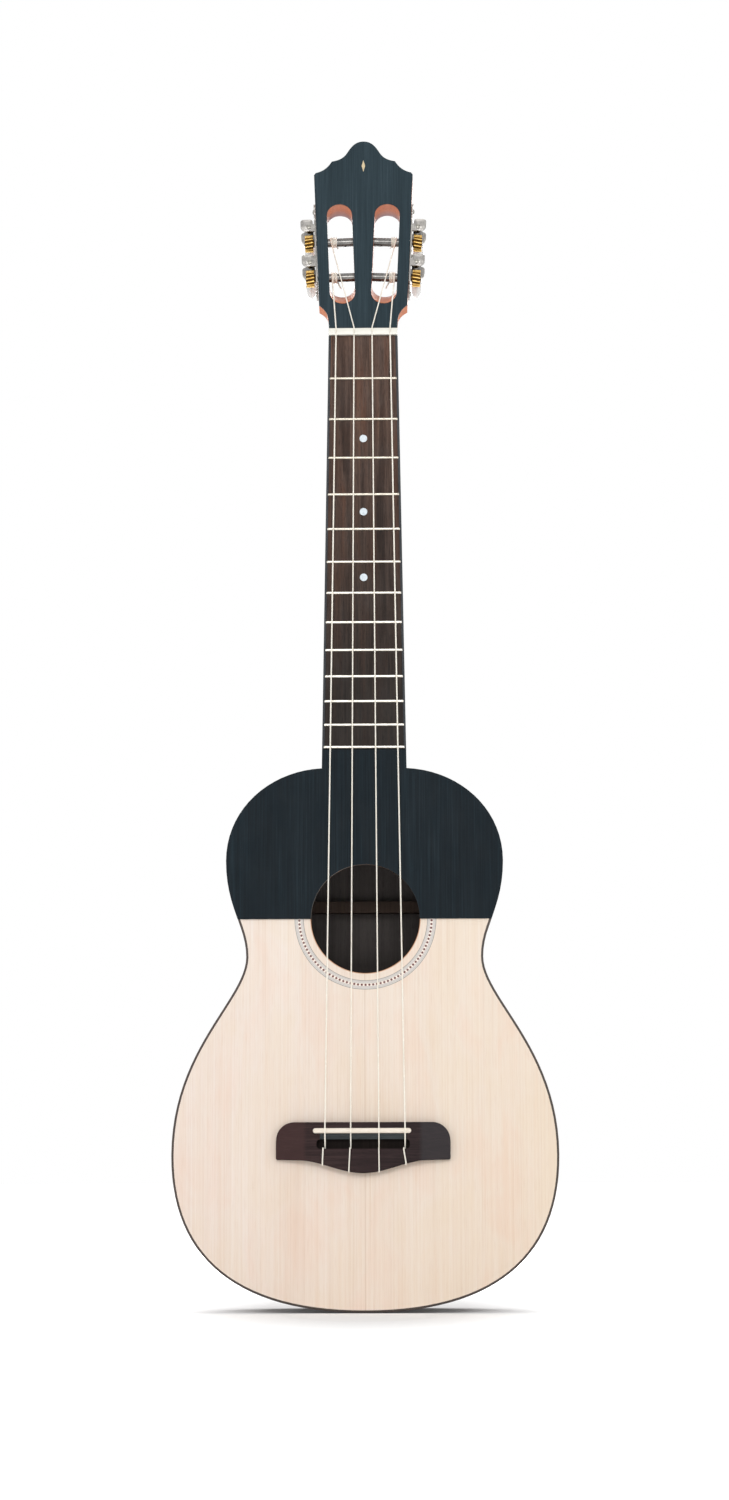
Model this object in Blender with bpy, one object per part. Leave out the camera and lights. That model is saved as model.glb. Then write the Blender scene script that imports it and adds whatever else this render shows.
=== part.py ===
# A four-string cuatro, built piece by piece: body, neck, head, bridge, strings and tuning machines.
# Metres, +Z up along the neck, the front facing -Y. The soundboard's front face is the plane y = 0.
# The origin is on the centre line, at the height where the fork of a hanger carries the head.
import math

import bmesh
import bpy
from mathutils import Matrix, Vector

MM = 0.001

# Scale, the gap between seated pieces, how far a cutter passes a surface, and the place of the origin
SCALE_LENGTH = 556 * MM
FRET_COUNT = 13
BODY_FRET = 14
SEAT = 0.3 * MM
CUT_PAST = 1 * MM
HANGER_ABOVE_NUT = 17 * MM

# Body outline: widths, their distances below the neck joint, and the reach of each curve's handles
UPPER_BOUT_WIDTH = 190.2 * MM
WAIST_WIDTH = 163.0 * MM
LOWER_BOUT_WIDTH = 264.0 * MM
UPPER_BOUT_DROP = 63.3 * MM
WAIST_DROP = 130.6 * MM
LOWER_BOUT_DROP = 266.8 * MM
BODY_LENGTH = 372.9 * MM
SHOULDER_SLOPE = math.radians(2.75)
SHOULDER_REACH = 36.4 * MM
UPPER_RISE = 36.0 * MM
UPPER_FALL = 32.3 * MM
WAIST_RISE = 21.4 * MM
WAIST_FALL = 28.8 * MM
LOWER_RISE = 72.8 * MM
LOWER_FALL = 70.5 * MM
TAIL_REACH = 81.1 * MM

# Body plates, sides and trim
BODY_DEPTH = 90 * MM
TOP_THICKNESS = 2.5 * MM
BACK_THICKNESS = 2.5 * MM
SIDE_THICKNESS = 2.0 * MM
BINDING_WIDTH = 2.0 * MM
BINDING_HEIGHT = 5.0 * MM
LINING_WIDTH = 5.0 * MM
LINING_HEIGHT = 12.0 * MM
SOUNDHOLE_DIAMETER = 75 * MM
SOUNDHOLE_DROP = 103.9 * MM
ROSETTE_MARGIN = 5.6 * MM
ROSETTE_WIDTH = 5.4 * MM
ROSETTE_DEPTH = 1.2 * MM
PLATE_THICKNESS = 0.9 * MM
PLATE_TIP_BELOW_FRET = 1.6 * MM

# Blocks and braces inside the body
NECK_BLOCK_WIDTH = 56 * MM
NECK_BLOCK_LENGTH = 24 * MM
TAIL_BLOCK_WIDTH = 50 * MM
TAIL_BLOCK_LENGTH = 16 * MM
BAR_WIDTH = 7 * MM
BAR_HEIGHT = 14 * MM
BAR_MARGIN = 12 * MM
FAN_WIDTH = 5 * MM
FAN_HEIGHT = 7 * MM
FAN_SPREAD_TOP = 24 * MM
FAN_SPREAD_TAIL = 42 * MM
FAN_BELOW_BAR = 6 * MM
FAN_ABOVE_TAIL = 50 * MM
BACK_BRACE_WIDTH = 8 * MM
BACK_BRACE_HEIGHT = 12 * MM
BACK_BRACE_DROPS = (90 * MM, 250 * MM)

# Neck, fretboard, frets and nut
NUT_WIDTH = 48.7 * MM
NECK_WIDTH_AT_BODY = 58.8 * MM
NUT_THICKNESS = 5.3 * MM
NUT_HEIGHT = 2.4 * MM
NUT_FALL = 0.8 * MM
NUT_CREST = 0.6
FRETBOARD_THICKNESS = 4.0 * MM
NECK_DEPTH_AT_NUT = 16 * MM
NECK_DEPTH_AT_HEEL = 19 * MM
HEEL_RUN = 56 * MM
HEEL_CAP_RUN = 11 * MM
HEEL_CAP_WIDTH = 20 * MM
HEEL_SHORT_OF_BACK = 1.0 * MM
TENON_WIDTH = 18 * MM
TENON_LENGTH = 16 * MM
TENON_FRONT = 8 * MM
TENON_DEPTH = 62 * MM
SCARF_RUN = 42 * MM
SCARF_DEPTH = 17 * MM
# Sections of the shaft inside the head: how far above the nut, how much narrower and how much shallower
LEANING_SECTIONS = ((24 * MM, 2.0 * MM, 3.4 * MM), (13 * MM, 0.8 * MM, 1.4 * MM))
FRET_WIDTH = 1.9 * MM
FRET_HEIGHT = 1.0 * MM
FRET_SHORT_OF_EDGE = 1.2 * MM
TANG_WIDTH = 0.5 * MM
TANG_DEPTH = 1.6 * MM

# Head: half widths and distances along its face, measured from the nut's front edge
HEAD_TILT = math.radians(15)
HEAD_THICKNESS = 18 * MM
VENEER_THICKNESS = 1.5 * MM
HEAD_COVE_START = (24.8 * MM, 12.0 * MM)
COVE_LEAVE = (0, 5 * MM)
COVE_ARRIVE = (4 * MM, 3 * MM)
HEAD_LOWER_CORNER = (31.3 * MM, 24.4 * MM)
HEAD_UPPER_CORNER = (35.5 * MM, 133.9 * MM)
UPPER_CORNER_ROUND = 1.2 * MM
CREST_SHOULDER = (22.4 * MM, 144.2 * MM)
CREST_BEND = (11.6 * MM, 151.0 * MM)
CREST_TIP = 161.1 * MM
HANDSTOP_FRONT = 4 * MM
HANDSTOP_TOP = 22 * MM
SLOT_WIDTH = 18 * MM
SLOT_WALL = 8 * MM
SLOT_BELOW_ROLLER = 27.4 * MM
SLOT_ABOVE_ROLLER = 26.4 * MM
SLOT_RAMP = math.radians(42)

# Bridge, saddle and tie block, measured from the saddle's centre line
SADDLE_SETBACK = 1.8 * MM
SADDLE_LENGTH = 68 * MM
SADDLE_THICKNESS = 3.5 * MM
SADDLE_TOP = 8.0 * MM
SADDLE_SLOT_FLOOR = 1.5 * MM
BRIDGE_WIDTH = 119 * MM
BRIDGE_HEIGHT = 6.2 * MM
BRIDGE_AHEAD = 6.0 * MM
BRIDGE_WING_TAIL = 19.2 * MM
BRIDGE_BELLY_TAIL = 28.0 * MM
BRIDGE_CORNER = 12.5 * MM
BELLY_SHARE = 0.36
WING_BOW = 1.6 * MM
WING_START = 39.5 * MM
WING_TIP_HEIGHT = 3.6 * MM
TIE_SLOT_WIDTH = 61 * MM
TIE_SLOT_LEDGE = 2.9 * MM
TIE_SLOT_RAMP = 3.0 * MM
TIE_SLOT_FLOOR = 1.8 * MM
TIE_BLOCK_TAIL = 11.1 * MM
TIE_HOLE_HEIGHT = 2.9 * MM

# Strings, from the treble side, each with its diameter and the side and row of its tuning machine
STRINGS = {
    1: {"diameter": 0.9 * MM, "side": 1, "row": 0, "place": 1.5, "tie_shift": 1.6 * MM},
    2: {"diameter": 0.8 * MM, "side": 1, "row": 1, "place": 0.5, "tie_shift": 0.3 * MM},
    3: {"diameter": 0.8 * MM, "side": -1, "row": 1, "place": -0.5, "tie_shift": 1.6 * MM},
    4: {"diameter": 0.9 * MM, "side": -1, "row": 0, "place": -1.5, "tie_shift": 1.6 * MM},
}
NUT_SPACING = 12.73 * MM
SADDLE_SPACING = 18.2 * MM
STRING_ABOVE_BOARD = 2.0 * MM
STRING_CLEARANCE = 0.3 * MM
WINDING_TURNS = 3.5
WINDING_GAP = 0.45 * MM
WINDING_OFF_WALL = 1.6 * MM
POINTS_PER_TURN = 24
SLOT_LIP = 0.12
TAIL_LENGTH = 5.5 * MM
TAIL_DRIFT = (-0.35, 0.1, 0)
TIE_BEND = 1.5 * MM

# Tuning machines. u runs out of the head's side, w behind its face, v along the side from the lower roller
ROLLER_LOW = 52.1 * MM
ROLLER_SPACING = 29.2 * MM
ROLLER_BEHIND_FACE = 9 * MM
ROLLER_RADIUS = 2.9 * MM
ROLLER_IN_CORE = 4.5 * MM
SPIGOT_RADIUS = 1.6 * MM
PLATE_METAL = 1.2 * MM
PLATE_WIDTH = 16 * MM
PLATE_BELOW = 17.2 * MM
PLATE_ABOVE = 31.8 * MM
PLATE_END_WIDE = 0.34
PLATE_END_TAPER = 0.22
SCALLOP = 1.4 * MM
EAR_THICKNESS = 1.4 * MM
EAR_LENGTH = 10.6 * MM
EAR_REACH = 10.2 * MM
EAR_TOP_CORNER = 1.5 * MM
EAR_BOTTOM_CORNER = 4.4 * MM
GEAR_TEETH = 14
GEAR_PITCH_RADIUS = 5.5 * MM
GEAR_ADDENDUM = 0.7 * MM
GEAR_DEDENDUM = 0.9 * MM
GEAR_MIDDLE = 5.4 * MM
GEAR_WIDTH = 4.4 * MM
GEAR_HUB_RADIUS = 3.0 * MM
ROLLER_CHAMFER = 0.4 * MM
SPIGOT_SHORT = 0.8 * MM
BORE_SHORT = 0.5 * MM
TOOTH_TIP = 0.5 * MM
TOOTH_ROOT = 1.15 * MM
SCREW_HEAD = 1.8 * MM
WORM_ROOT_RADIUS = 2.15 * MM
WORM_TIP_RADIUS = 3.45 * MM
MESH_CLEARANCE = 0.4 * MM
JOURNAL_RADIUS = 1.5 * MM
THREAD_PITCHES = 3
BUTTON_LENGTH = 23 * MM
BUTTON_WIDTH = 14 * MM
BUTTON_DEPTH = 8.5 * MM
BUTTON_OFF_EAR = 1.4 * MM
BUTTON_SOCKET = 8 * MM

# Worked out from the sizes above
NUT_Z = -HANGER_ABOVE_NUT
FACE_Y = -(SEAT + PLATE_THICKNESS)
BOARD_BACK_Y = FACE_Y + FRETBOARD_THICKNESS
NECK_FRONT_Y = BOARD_BACK_Y + SEAT
SADDLE_AT = SCALE_LENGTH + SADDLE_SETBACK
HEAD_START = (NUT_THICKNESS + SEAT + (VENEER_THICKNESS + SEAT) * math.sin(HEAD_TILT)) / math.cos(HEAD_TILT)
SIDE_SLANT = math.atan2(*(upper - lower for upper, lower in zip(HEAD_UPPER_CORNER, HEAD_LOWER_CORNER)))
GEAR_TIP_RADIUS = GEAR_PITCH_RADIUS + GEAR_ADDENDUM
GEAR_ROOT_RADIUS = GEAR_PITCH_RADIUS - GEAR_DEDENDUM
GEAR_PITCH = 2 * math.pi * GEAR_PITCH_RADIUS / GEAR_TEETH
WORM_OFFSET = GEAR_TIP_RADIUS + WORM_ROOT_RADIUS + MESH_CLEARANCE
EAR_FRONT = ROLLER_BEHIND_FACE - PLATE_WIDTH / 2
EAR_BACK = ROLLER_BEHIND_FACE + PLATE_WIDTH / 2


def fret_distance(number):
    """How far fret number lies below the nut's front edge, in equal temperament."""
    return SCALE_LENGTH * (1 - 2 ** (-number / 12))


JOINT_AT = fret_distance(BODY_FRET)
SOUNDHOLE_AT = JOINT_AT + SOUNDHOLE_DROP
PLATE_TIP_AT = fret_distance(FRET_COUNT) + PLATE_TIP_BELOW_FRET

# Planes for flat outlines: each takes local x, y and z to the axes named
FACING = Matrix.Rotation(math.pi / 2, 4, "X")                     # x, z and -y
ACROSS = Matrix(((0, 0, 1, 0), (1, 0, 0, 0), (0, 1, 0, 0), (0, 0, 0, 1)))  # y, z and x


def below_nut(distance):
    return NUT_Z - distance


def neck_half_width(distance):
    share = distance / JOINT_AT
    return (NUT_WIDTH + (NECK_WIDTH_AT_BODY - NUT_WIDTH) * share) / 2


# Scene, materials and the basic makers of solids

def start_scene():
    for old in list(bpy.data.objects):
        bpy.data.objects.remove(old, do_unlink=True)
    collections = []
    for name in ("cuatro", "cutters"):
        collection = bpy.data.collections.new(name)
        bpy.context.scene.collection.children.link(collection)
        collections.append(collection)
    return collections


PARTS, CUTTERS = start_scene()


def linear(channel):
    return channel / 12.92 if channel <= 0.04045 else ((channel + 0.055) / 1.055) ** 2.4


def material(name, hex_colour, roughness, metallic=0.0):
    made = bpy.data.materials.new(name)
    made.use_nodes = True
    shader = made.node_tree.nodes["Principled BSDF"]
    channels = [int(hex_colour[i:i + 2], 16) / 255 for i in (0, 2, 4)]
    shader.inputs["Base Color"].default_value = (*[linear(c) for c in channels], 1)
    shader.inputs["Roughness"].default_value = roughness
    shader.inputs["Metallic"].default_value = metallic
    return made


MATERIALS = {
    "spruce": material("spruce", "EFDCC8", 0.45),
    "dark_plate": material("dark_plate", "2A333B", 0.4),
    "body_wood": material("body_wood", "4A2C20", 0.4),
    "cedar": material("cedar", "B06A48", 0.5),
    "inner_wood": material("inner_wood", "D9BE97", 0.7),
    "binding": material("binding", "33261F", 0.4),
    "rosette": material("rosette", "9A939C", 0.45),
    "rosewood": material("rosewood", "4A3A34", 0.5),
    "bridge_wood": material("bridge_wood", "3D3233", 0.5),
    "fret_metal": material("fret_metal", "D8D3C8", 0.3, 1.0),
    "bone": material("bone", "FBF3E6", 0.35),
    "nylon": material("nylon", "EDE8DE", 0.3),
    "nickel": material("nickel", "BDBAB2", 0.3, 1.0),
    "brass": material("brass", "B08A3C", 0.3, 1.0),
    "steel": material("steel", "4A4A50", 0.3, 1.0),
    "pearl": material("pearl", "E6E4E0", 0.25),
}


def link(name, data, matrix, material_name=None, parent=None, cutter=False):
    """One object from mesh or curve data, placed by matrix in its parent's frame."""
    made = bpy.data.objects.new(name, data)
    (CUTTERS if cutter else PARTS).objects.link(made)
    made.parent = parent
    made.matrix_local = matrix
    if material_name and not data.materials:
        data.materials.append(MATERIALS[material_name])
    if cutter:
        made.hide_render = True
        made.display_type = "WIRE"
    return made


def evaluated_mesh(source):
    bpy.context.view_layer.update()
    graph = bpy.context.evaluated_depsgraph_get()
    return bpy.data.meshes.new_from_object(source.evaluated_get(graph))


def welded(mesh, distance=1e-6):
    bm = bmesh.new()
    bm.from_mesh(mesh)
    bmesh.ops.remove_doubles(bm, verts=bm.verts, dist=distance)
    bmesh.ops.recalc_face_normals(bm, faces=bm.faces)
    bm.to_mesh(mesh)
    bm.free()
    return mesh


def baked(source):
    """A fresh mesh of an object with its modifiers, which then leaves the scene."""
    mesh = evaluated_mesh(source)
    bpy.data.objects.remove(source, do_unlink=True)
    return mesh


def outline_mesh(name, loops, thickness):
    """A flat outline with its holes, extruded equally to both sides of its plane."""
    curve = bpy.data.curves.new(name, "CURVE")
    curve.dimensions = "2D"
    curve.fill_mode = "BOTH"
    curve.extrude = thickness / 2
    for loop in loops:
        spline = curve.splines.new("POLY")
        spline.points.add(len(loop) - 1)
        for point, (a, b) in zip(spline.points, loop):
            point.co = (a, b, 0, 1)
        spline.use_cyclic_u = True
    holder = bpy.data.objects.new(name, curve)
    CUTTERS.objects.link(holder)
    mesh = welded(baked(holder))
    bpy.data.curves.remove(curve)
    mesh.name = name
    return mesh


def front_piece(name, loops, front, back, material_name=None, cutter=False):
    """A flat piece parallel to the soundboard, between the planes y = front and y = back."""
    place = Matrix.Translation((0, (front + back) / 2, 0)) @ FACING
    return link(name, outline_mesh(name, loops, back - front), place, material_name, cutter=cutter)


def box(name, low, high, material_name=None, parent=None, cutter=False):
    low, high = Vector(low), Vector(high)
    bm = bmesh.new()
    bmesh.ops.create_cube(bm, size=1)
    bmesh.ops.scale(bm, vec=high - low, verts=bm.verts)
    mesh = bpy.data.meshes.new(name)
    bm.to_mesh(mesh)
    bm.free()
    return link(name, mesh, Matrix.Translation((low + high) / 2), material_name, parent, cutter)


def loft_mesh(name, rings, mirror=False):
    """A closed solid through rings of equal counts, flat at both ends; mirror turns x to -x."""
    bm = bmesh.new()
    sign = -1 if mirror else 1
    verts = [[bm.verts.new((sign * p[0], p[1], p[2])) for p in ring] for ring in rings]
    for ring, following in zip(verts, verts[1:]):
        for i in range(len(ring)):
            j = (i + 1) % len(ring)
            bm.faces.new((ring[i], ring[j], following[j], following[i]))
    bm.faces.new(verts[0])
    bm.faces.new(verts[-1])
    bmesh.ops.recalc_face_normals(bm, faces=bm.faces)
    mesh = bpy.data.meshes.new(name)
    bm.to_mesh(mesh)
    bm.free()
    mesh.shade_smooth()
    mesh.set_sharp_from_angle(angle=math.radians(35))
    return mesh


def turned_rings(profile, count, axis="X"):
    """Rings of a turned solid from (place along the axis, radius) pairs."""
    rings = []
    for along, radius in profile:
        ring = []
        for i in range(count):
            angle = 2 * math.pi * i / count
            a, b = radius * math.cos(angle), radius * math.sin(angle)
            ring.append((along, a, b) if axis == "X" else (a, along, b))
        rings.append(ring)
    return rings


def boolean(target, cutter, operation="DIFFERENCE"):
    modifier = target.modifiers.new(cutter.name, "BOOLEAN")
    modifier.operation = operation
    modifier.solver = "EXACT"
    modifier.object = cutter


def tube(name, points, diameter, material_name):
    curve = bpy.data.curves.new(name, "CURVE")
    curve.dimensions = "3D"
    curve.bevel_depth = diameter / 2
    curve.bevel_resolution = 1
    curve.use_fill_caps = True
    spline = curve.splines.new("POLY")
    spline.points.add(len(points) - 1)
    for point, place in zip(spline.points, points):
        point.co = (*place, 1)
    return link(name, curve, Matrix(), material_name)


def circle(centre, radius, count):
    turns = [2 * math.pi * i / count for i in range(count)]
    return [(centre[0] + radius * math.cos(t), centre[1] + radius * math.sin(t)) for t in turns]


def bezier(start, leave, arrive, end, steps):
    """Points of a cubic curve with their directions, without the last one."""
    start, leave, arrive, end = (Vector(p) for p in (start, leave, arrive, end))
    points = []
    for i in range(steps):
        t = i / steps
        place = (start * (1 - t) ** 3 + leave * 3 * t * (1 - t) ** 2
                 + arrive * 3 * t * t * (1 - t) + end * t ** 3)
        way = (leave - start) * (1 - t) ** 2 + (arrive - leave) * 2 * t * (1 - t) + (end - arrive) * t * t
        points.append((place, way.normalized()))
    return points


def mirrored(half):
    """A closed loop from its right half, given from top to bottom."""
    return half + [(-x, y) for x, y in reversed(half) if x > 1e-7]


# Body

def body_curve():
    """The right half of the body's outline as (half width, distance below the nut) with directions."""
    shoulder = Vector((NECK_WIDTH_AT_BODY / 2, JOINT_AT))
    upper = Vector((UPPER_BOUT_WIDTH / 2, JOINT_AT + UPPER_BOUT_DROP))
    waist = Vector((WAIST_WIDTH / 2, JOINT_AT + WAIST_DROP))
    lower = Vector((LOWER_BOUT_WIDTH / 2, JOINT_AT + LOWER_BOUT_DROP))
    tail = Vector((0, JOINT_AT + BODY_LENGTH))
    down = Vector((0, 1))
    away = Vector((math.cos(SHOULDER_SLOPE), math.sin(SHOULDER_SLOPE)))
    points = bezier(shoulder, shoulder + away * SHOULDER_REACH, upper - down * UPPER_RISE, upper, 9)
    points += bezier(upper, upper + down * UPPER_FALL, waist - down * WAIST_RISE, waist, 5)
    points += bezier(waist, waist + down * WAIST_FALL, lower - down * LOWER_RISE, lower, 8)
    points += bezier(lower, lower + down * LOWER_FALL, tail + Vector((TAIL_REACH, 0)), tail, 10)
    points.append((tail, Vector((-1, 0))))
    return points


BODY_CURVE = body_curve()


def half_outline(inset, start_x, end_x=0.0):
    """The outline moved inwards, from start_x on the joint's straight edge to end_x at the tail."""
    moved = [(place.x - way.y * inset, place.y + way.x * inset) for place, way in BODY_CURVE]
    half = [(start_x, JOINT_AT + inset)]
    past = next(i for i, (x, _) in enumerate(moved) if x > start_x + SEAT)
    if past:
        (x0, d0), (x1, d1) = moved[past - 1], moved[past]
        if start_x > x0:
            half = [(start_x, d0 + (d1 - d0) * (start_x - x0) / (x1 - x0))]
    half += moved[past:]
    if end_x:
        half[-1] = (end_x, half[-1][1])
    return half


def in_world(half):
    return [(x, below_nut(d)) for x, d in half]


def half_width_at(distance, inset):
    half = half_outline(inset, SEAT)
    for (x0, d0), (x1, d1) in zip(half, half[1:]):
        if d0 <= distance <= d1 and d1 > d0:
            return x0 + (x1 - x0) * (distance - d0) / (d1 - d0)
    return 0.0


def board_loop(start_x):
    """The edge of the soundboard or back inside its binding, with its tongue between the binding's ends."""
    inset = BINDING_WIDTH + SEAT
    half = half_outline(inset, start_x - SEAT)
    return mirrored([(start_x - SEAT, below_nut(JOINT_AT + SEAT))] + in_world(half))


def band_loop(outer_inset, inner_inset, start_x):
    """A strip that follows the outline round the tail and is open at the neck."""
    outer = in_world(half_outline(outer_inset, start_x))
    inner = in_world(half_outline(inner_inset, start_x))
    left_outer = [(-x, z) for x, z in reversed(outer[:-1])]
    left_inner = [(-x, z) for x, z in inner[:-1]]
    return outer + left_outer + left_inner + list(reversed(inner))


def make_plates():
    hole_centre = (0, below_nut(SOUNDHOLE_AT))
    hole_radius = SOUNDHOLE_DIAMETER / 2
    inner = hole_radius + ROSETTE_MARGIN
    outer = inner + ROSETTE_WIDTH
    joint_half = NECK_WIDTH_AT_BODY / 2

    count = 36
    hole = circle(hole_centre, hole_radius, count)
    soundboard = front_piece("soundboard", [board_loop(joint_half), hole], 0, TOP_THICKNESS, "spruce")
    wider = [circle(hole_centre, outer + SEAT, count), circle(hole_centre, inner - SEAT, count)]
    boolean(soundboard, front_piece("rosette_groove", wider, -CUT_PAST, ROSETTE_DEPTH + SEAT, cutter=True))
    ring = [circle(hole_centre, outer, count), circle(hole_centre, inner, count)]
    front_piece("rosette", ring, 0, ROSETTE_DEPTH, "rosette")

    heel_half = HEEL_CAP_WIDTH / 2 + 2 * SEAT
    front_piece("back", [board_loop(heel_half)], BODY_DEPTH - BACK_THICKNESS, BODY_DEPTH, "body_wood")
    front_piece("top_binding", [band_loop(0, BINDING_WIDTH, joint_half)], 0, BINDING_HEIGHT, "binding")
    front_piece("back_binding", [band_loop(0, BINDING_WIDTH, heel_half)],
                BODY_DEPTH - BINDING_HEIGHT, BODY_DEPTH, "binding")


def make_tap_plate():
    """The thin dark plate: the upper half down to the soundhole's middle, with a tongue to the last fret."""
    edge_at = SOUNDHOLE_AT
    half = [(neck_half_width(PLATE_TIP_AT), PLATE_TIP_AT)]
    outline = half_outline(0, NECK_WIDTH_AT_BODY / 2)
    above = [(x, d) for x, d in outline if d < edge_at - SEAT]
    half += above
    half.append((half_width_at(edge_at, 0), edge_at))
    radius = SOUNDHOLE_DIAMETER / 2
    steps = 9
    for i in range(steps + 1):
        turn = math.pi / 2 * i / steps
        half.append((radius * math.cos(turn), edge_at - radius * math.sin(turn)))
    half[-1] = (0, edge_at - radius)
    front_piece("tap_plate", [mirrored(in_world(half))], FACE_Y, FACE_Y + PLATE_THICKNESS, "dark_plate")


def make_sides():
    front = BINDING_HEIGHT + SEAT
    back = BODY_DEPTH - BINDING_HEIGHT - SEAT
    start = TENON_WIDTH / 2 + SEAT
    outer = in_world(half_outline(0, start, SEAT / 2))
    inner = in_world(half_outline(SIDE_THICKNESS, start, SEAT / 2))
    loop = outer + list(reversed(inner))
    front_piece("side_treble", [loop], front, back, "body_wood")
    front_piece("side_bass", [[(-x, z) for x, z in loop]], front, back, "body_wood")


def make_linings_and_blocks():
    behind_side = SIDE_THICKNESS + SEAT
    block_half = NECK_BLOCK_WIDTH / 2
    top_y = TOP_THICKNESS + SEAT
    back_y = BODY_DEPTH - BACK_THICKNESS - SEAT
    lining = [band_loop(behind_side, behind_side + LINING_WIDTH, block_half + SEAT)]
    front_piece("top_lining", lining, top_y, top_y + LINING_HEIGHT, "inner_wood")
    front_piece("back_lining", lining, back_y - LINING_HEIGHT, back_y, "inner_wood")

    block_top = below_nut(JOINT_AT + behind_side)
    neck_block = box("neck_block", (-block_half, top_y, block_top - NECK_BLOCK_LENGTH),
                     (block_half, back_y, block_top), "inner_wood")
    wide = TENON_WIDTH / 2 + SEAT
    mortise = box("mortise", (-wide, TENON_FRONT - SEAT, below_nut(JOINT_AT + TENON_LENGTH + SEAT)),
                  (wide, TENON_FRONT + TENON_DEPTH + SEAT, block_top + CUT_PAST), cutter=True)
    boolean(neck_block, mortise)

    tail_half = TAIL_BLOCK_WIDTH / 2
    outline = half_outline(behind_side, SEAT)
    first = max(i for i, (x, _) in enumerate(outline) if x >= tail_half)
    (x0, d0), (x1, d1) = outline[first:first + 2]
    corner = (tail_half, d0 + (d1 - d0) * (x0 - tail_half) / (x0 - x1))
    half = [(tail_half, outline[-1][1] - TAIL_BLOCK_LENGTH), corner] + outline[first + 1:]
    front_piece("tail_block", [mirrored(in_world(half))], top_y + LINING_HEIGHT + SEAT,
                back_y - LINING_HEIGHT - SEAT, "inner_wood")


def cross_bar(name, distance, width, front, back, material_name):
    """A bar across the body at a distance below the nut, ending at the linings."""
    inset = SIDE_THICKNESS + 2 * SEAT + LINING_WIDTH
    upper, lower = distance - width / 2, distance + width / 2
    reach = min(half_width_at(upper, inset), half_width_at(lower, inset)) - SEAT
    box(name, (-reach, front, below_nut(lower)), (reach, back, below_nut(upper)), material_name)


def make_braces():
    top_y = TOP_THICKNESS + SEAT
    back_y = BODY_DEPTH - BACK_THICKNESS - SEAT
    bar_off = SOUNDHOLE_DIAMETER / 2 + BAR_MARGIN + BAR_WIDTH / 2
    cross_bar("upper_bar", SOUNDHOLE_AT - bar_off, BAR_WIDTH, top_y, top_y + BAR_HEIGHT, "inner_wood")
    cross_bar("lower_bar", SOUNDHOLE_AT + bar_off, BAR_WIDTH, top_y, top_y + BAR_HEIGHT, "inner_wood")
    for name, drop in zip(("upper_back_brace", "lower_back_brace"), BACK_BRACE_DROPS):
        cross_bar(name, JOINT_AT + drop, BACK_BRACE_WIDTH, back_y - BACK_BRACE_HEIGHT, back_y, "inner_wood")
    start = SOUNDHOLE_AT + bar_off + BAR_WIDTH / 2 + FAN_BELOW_BAR
    end = JOINT_AT + BODY_LENGTH - FAN_ABOVE_TAIL
    for name, sign in (("fan_brace_treble", 1), ("fan_brace_bass", -1)):
        loop = [(sign * FAN_SPREAD_TOP - FAN_WIDTH / 2, below_nut(start)),
                (sign * FAN_SPREAD_TOP + FAN_WIDTH / 2, below_nut(start)),
                (sign * FAN_SPREAD_TAIL + FAN_WIDTH / 2, below_nut(end)),
                (sign * FAN_SPREAD_TAIL - FAN_WIDTH / 2, below_nut(end))]
        front_piece(name, [loop], top_y, top_y + FAN_HEIGHT, "inner_wood")


# Neck and head

def smooth(share):
    share = min(max(share, 0), 1)
    return share * share * (3 - 2 * share)


def neck_section(distance, front, depth, half):
    """One D-shaped section; deeper sections draw in towards the heel cap's width."""
    full = BODY_DEPTH - NECK_FRONT_Y
    share = min(max((depth - NECK_DEPTH_AT_HEEL) / (full - NECK_DEPTH_AT_HEEL), 0), 1)
    power = 2 + 5 * share
    steps = 8
    right = []
    for i in range(steps + 1):
        turn = math.pi / 2 * i / steps
        deep = math.sin(turn)
        drawn = half + (HEEL_CAP_WIDTH / 2 - half) * smooth(deep * depth / full)
        right.append((drawn * max(1 - deep ** power, 0) ** (1 / power), front + depth * deep))
    right[-1] = (0, front + depth)
    loop = right + [(-x, y) for x, y in reversed(right[:-1])]
    return [(x, y, below_nut(distance)) for x, y in loop]


def neck_blank_mesh():
    """Shaft and heel as one loft; the first sections lean back into the head."""
    lean = math.tan(HEAD_TILT)
    half = NUT_WIDTH / 2
    rings = []
    for above, narrow, shallow in LEANING_SECTIONS:
        front = FACE_Y + above * lean + VENEER_THICKNESS + 2 * SEAT
        rings.append(neck_section(-above, front, NECK_DEPTH_AT_NUT - shallow, half - narrow))
    rings.append(neck_section(-NUT_THICKNESS, NECK_FRONT_Y, NECK_DEPTH_AT_NUT, half))
    heel_start = JOINT_AT - HEEL_RUN
    for step in range(4):
        distance = heel_start * step / 3
        depth = NECK_DEPTH_AT_NUT + (NECK_DEPTH_AT_HEEL - NECK_DEPTH_AT_NUT) * step / 3
        rings.append(neck_section(distance, NECK_FRONT_Y, depth, neck_half_width(distance)))
    cap_depth = BODY_DEPTH - HEEL_SHORT_OF_BACK - NECK_FRONT_Y
    sweep = HEEL_RUN - HEEL_CAP_RUN
    steps = 8
    for step in range(1, steps + 1):
        turn = math.pi / 2 * step / steps
        distance = heel_start + sweep * math.sin(turn)
        depth = NECK_DEPTH_AT_HEEL + (cap_depth - NECK_DEPTH_AT_HEEL) * (1 - math.cos(turn))
        rings.append(neck_section(distance, NECK_FRONT_Y, depth, neck_half_width(distance)))
    end = JOINT_AT - SEAT
    rings.append(neck_section(end, NECK_FRONT_Y, cap_depth, neck_half_width(end)))
    return loft_mesh("neck_blank", rings)


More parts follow.
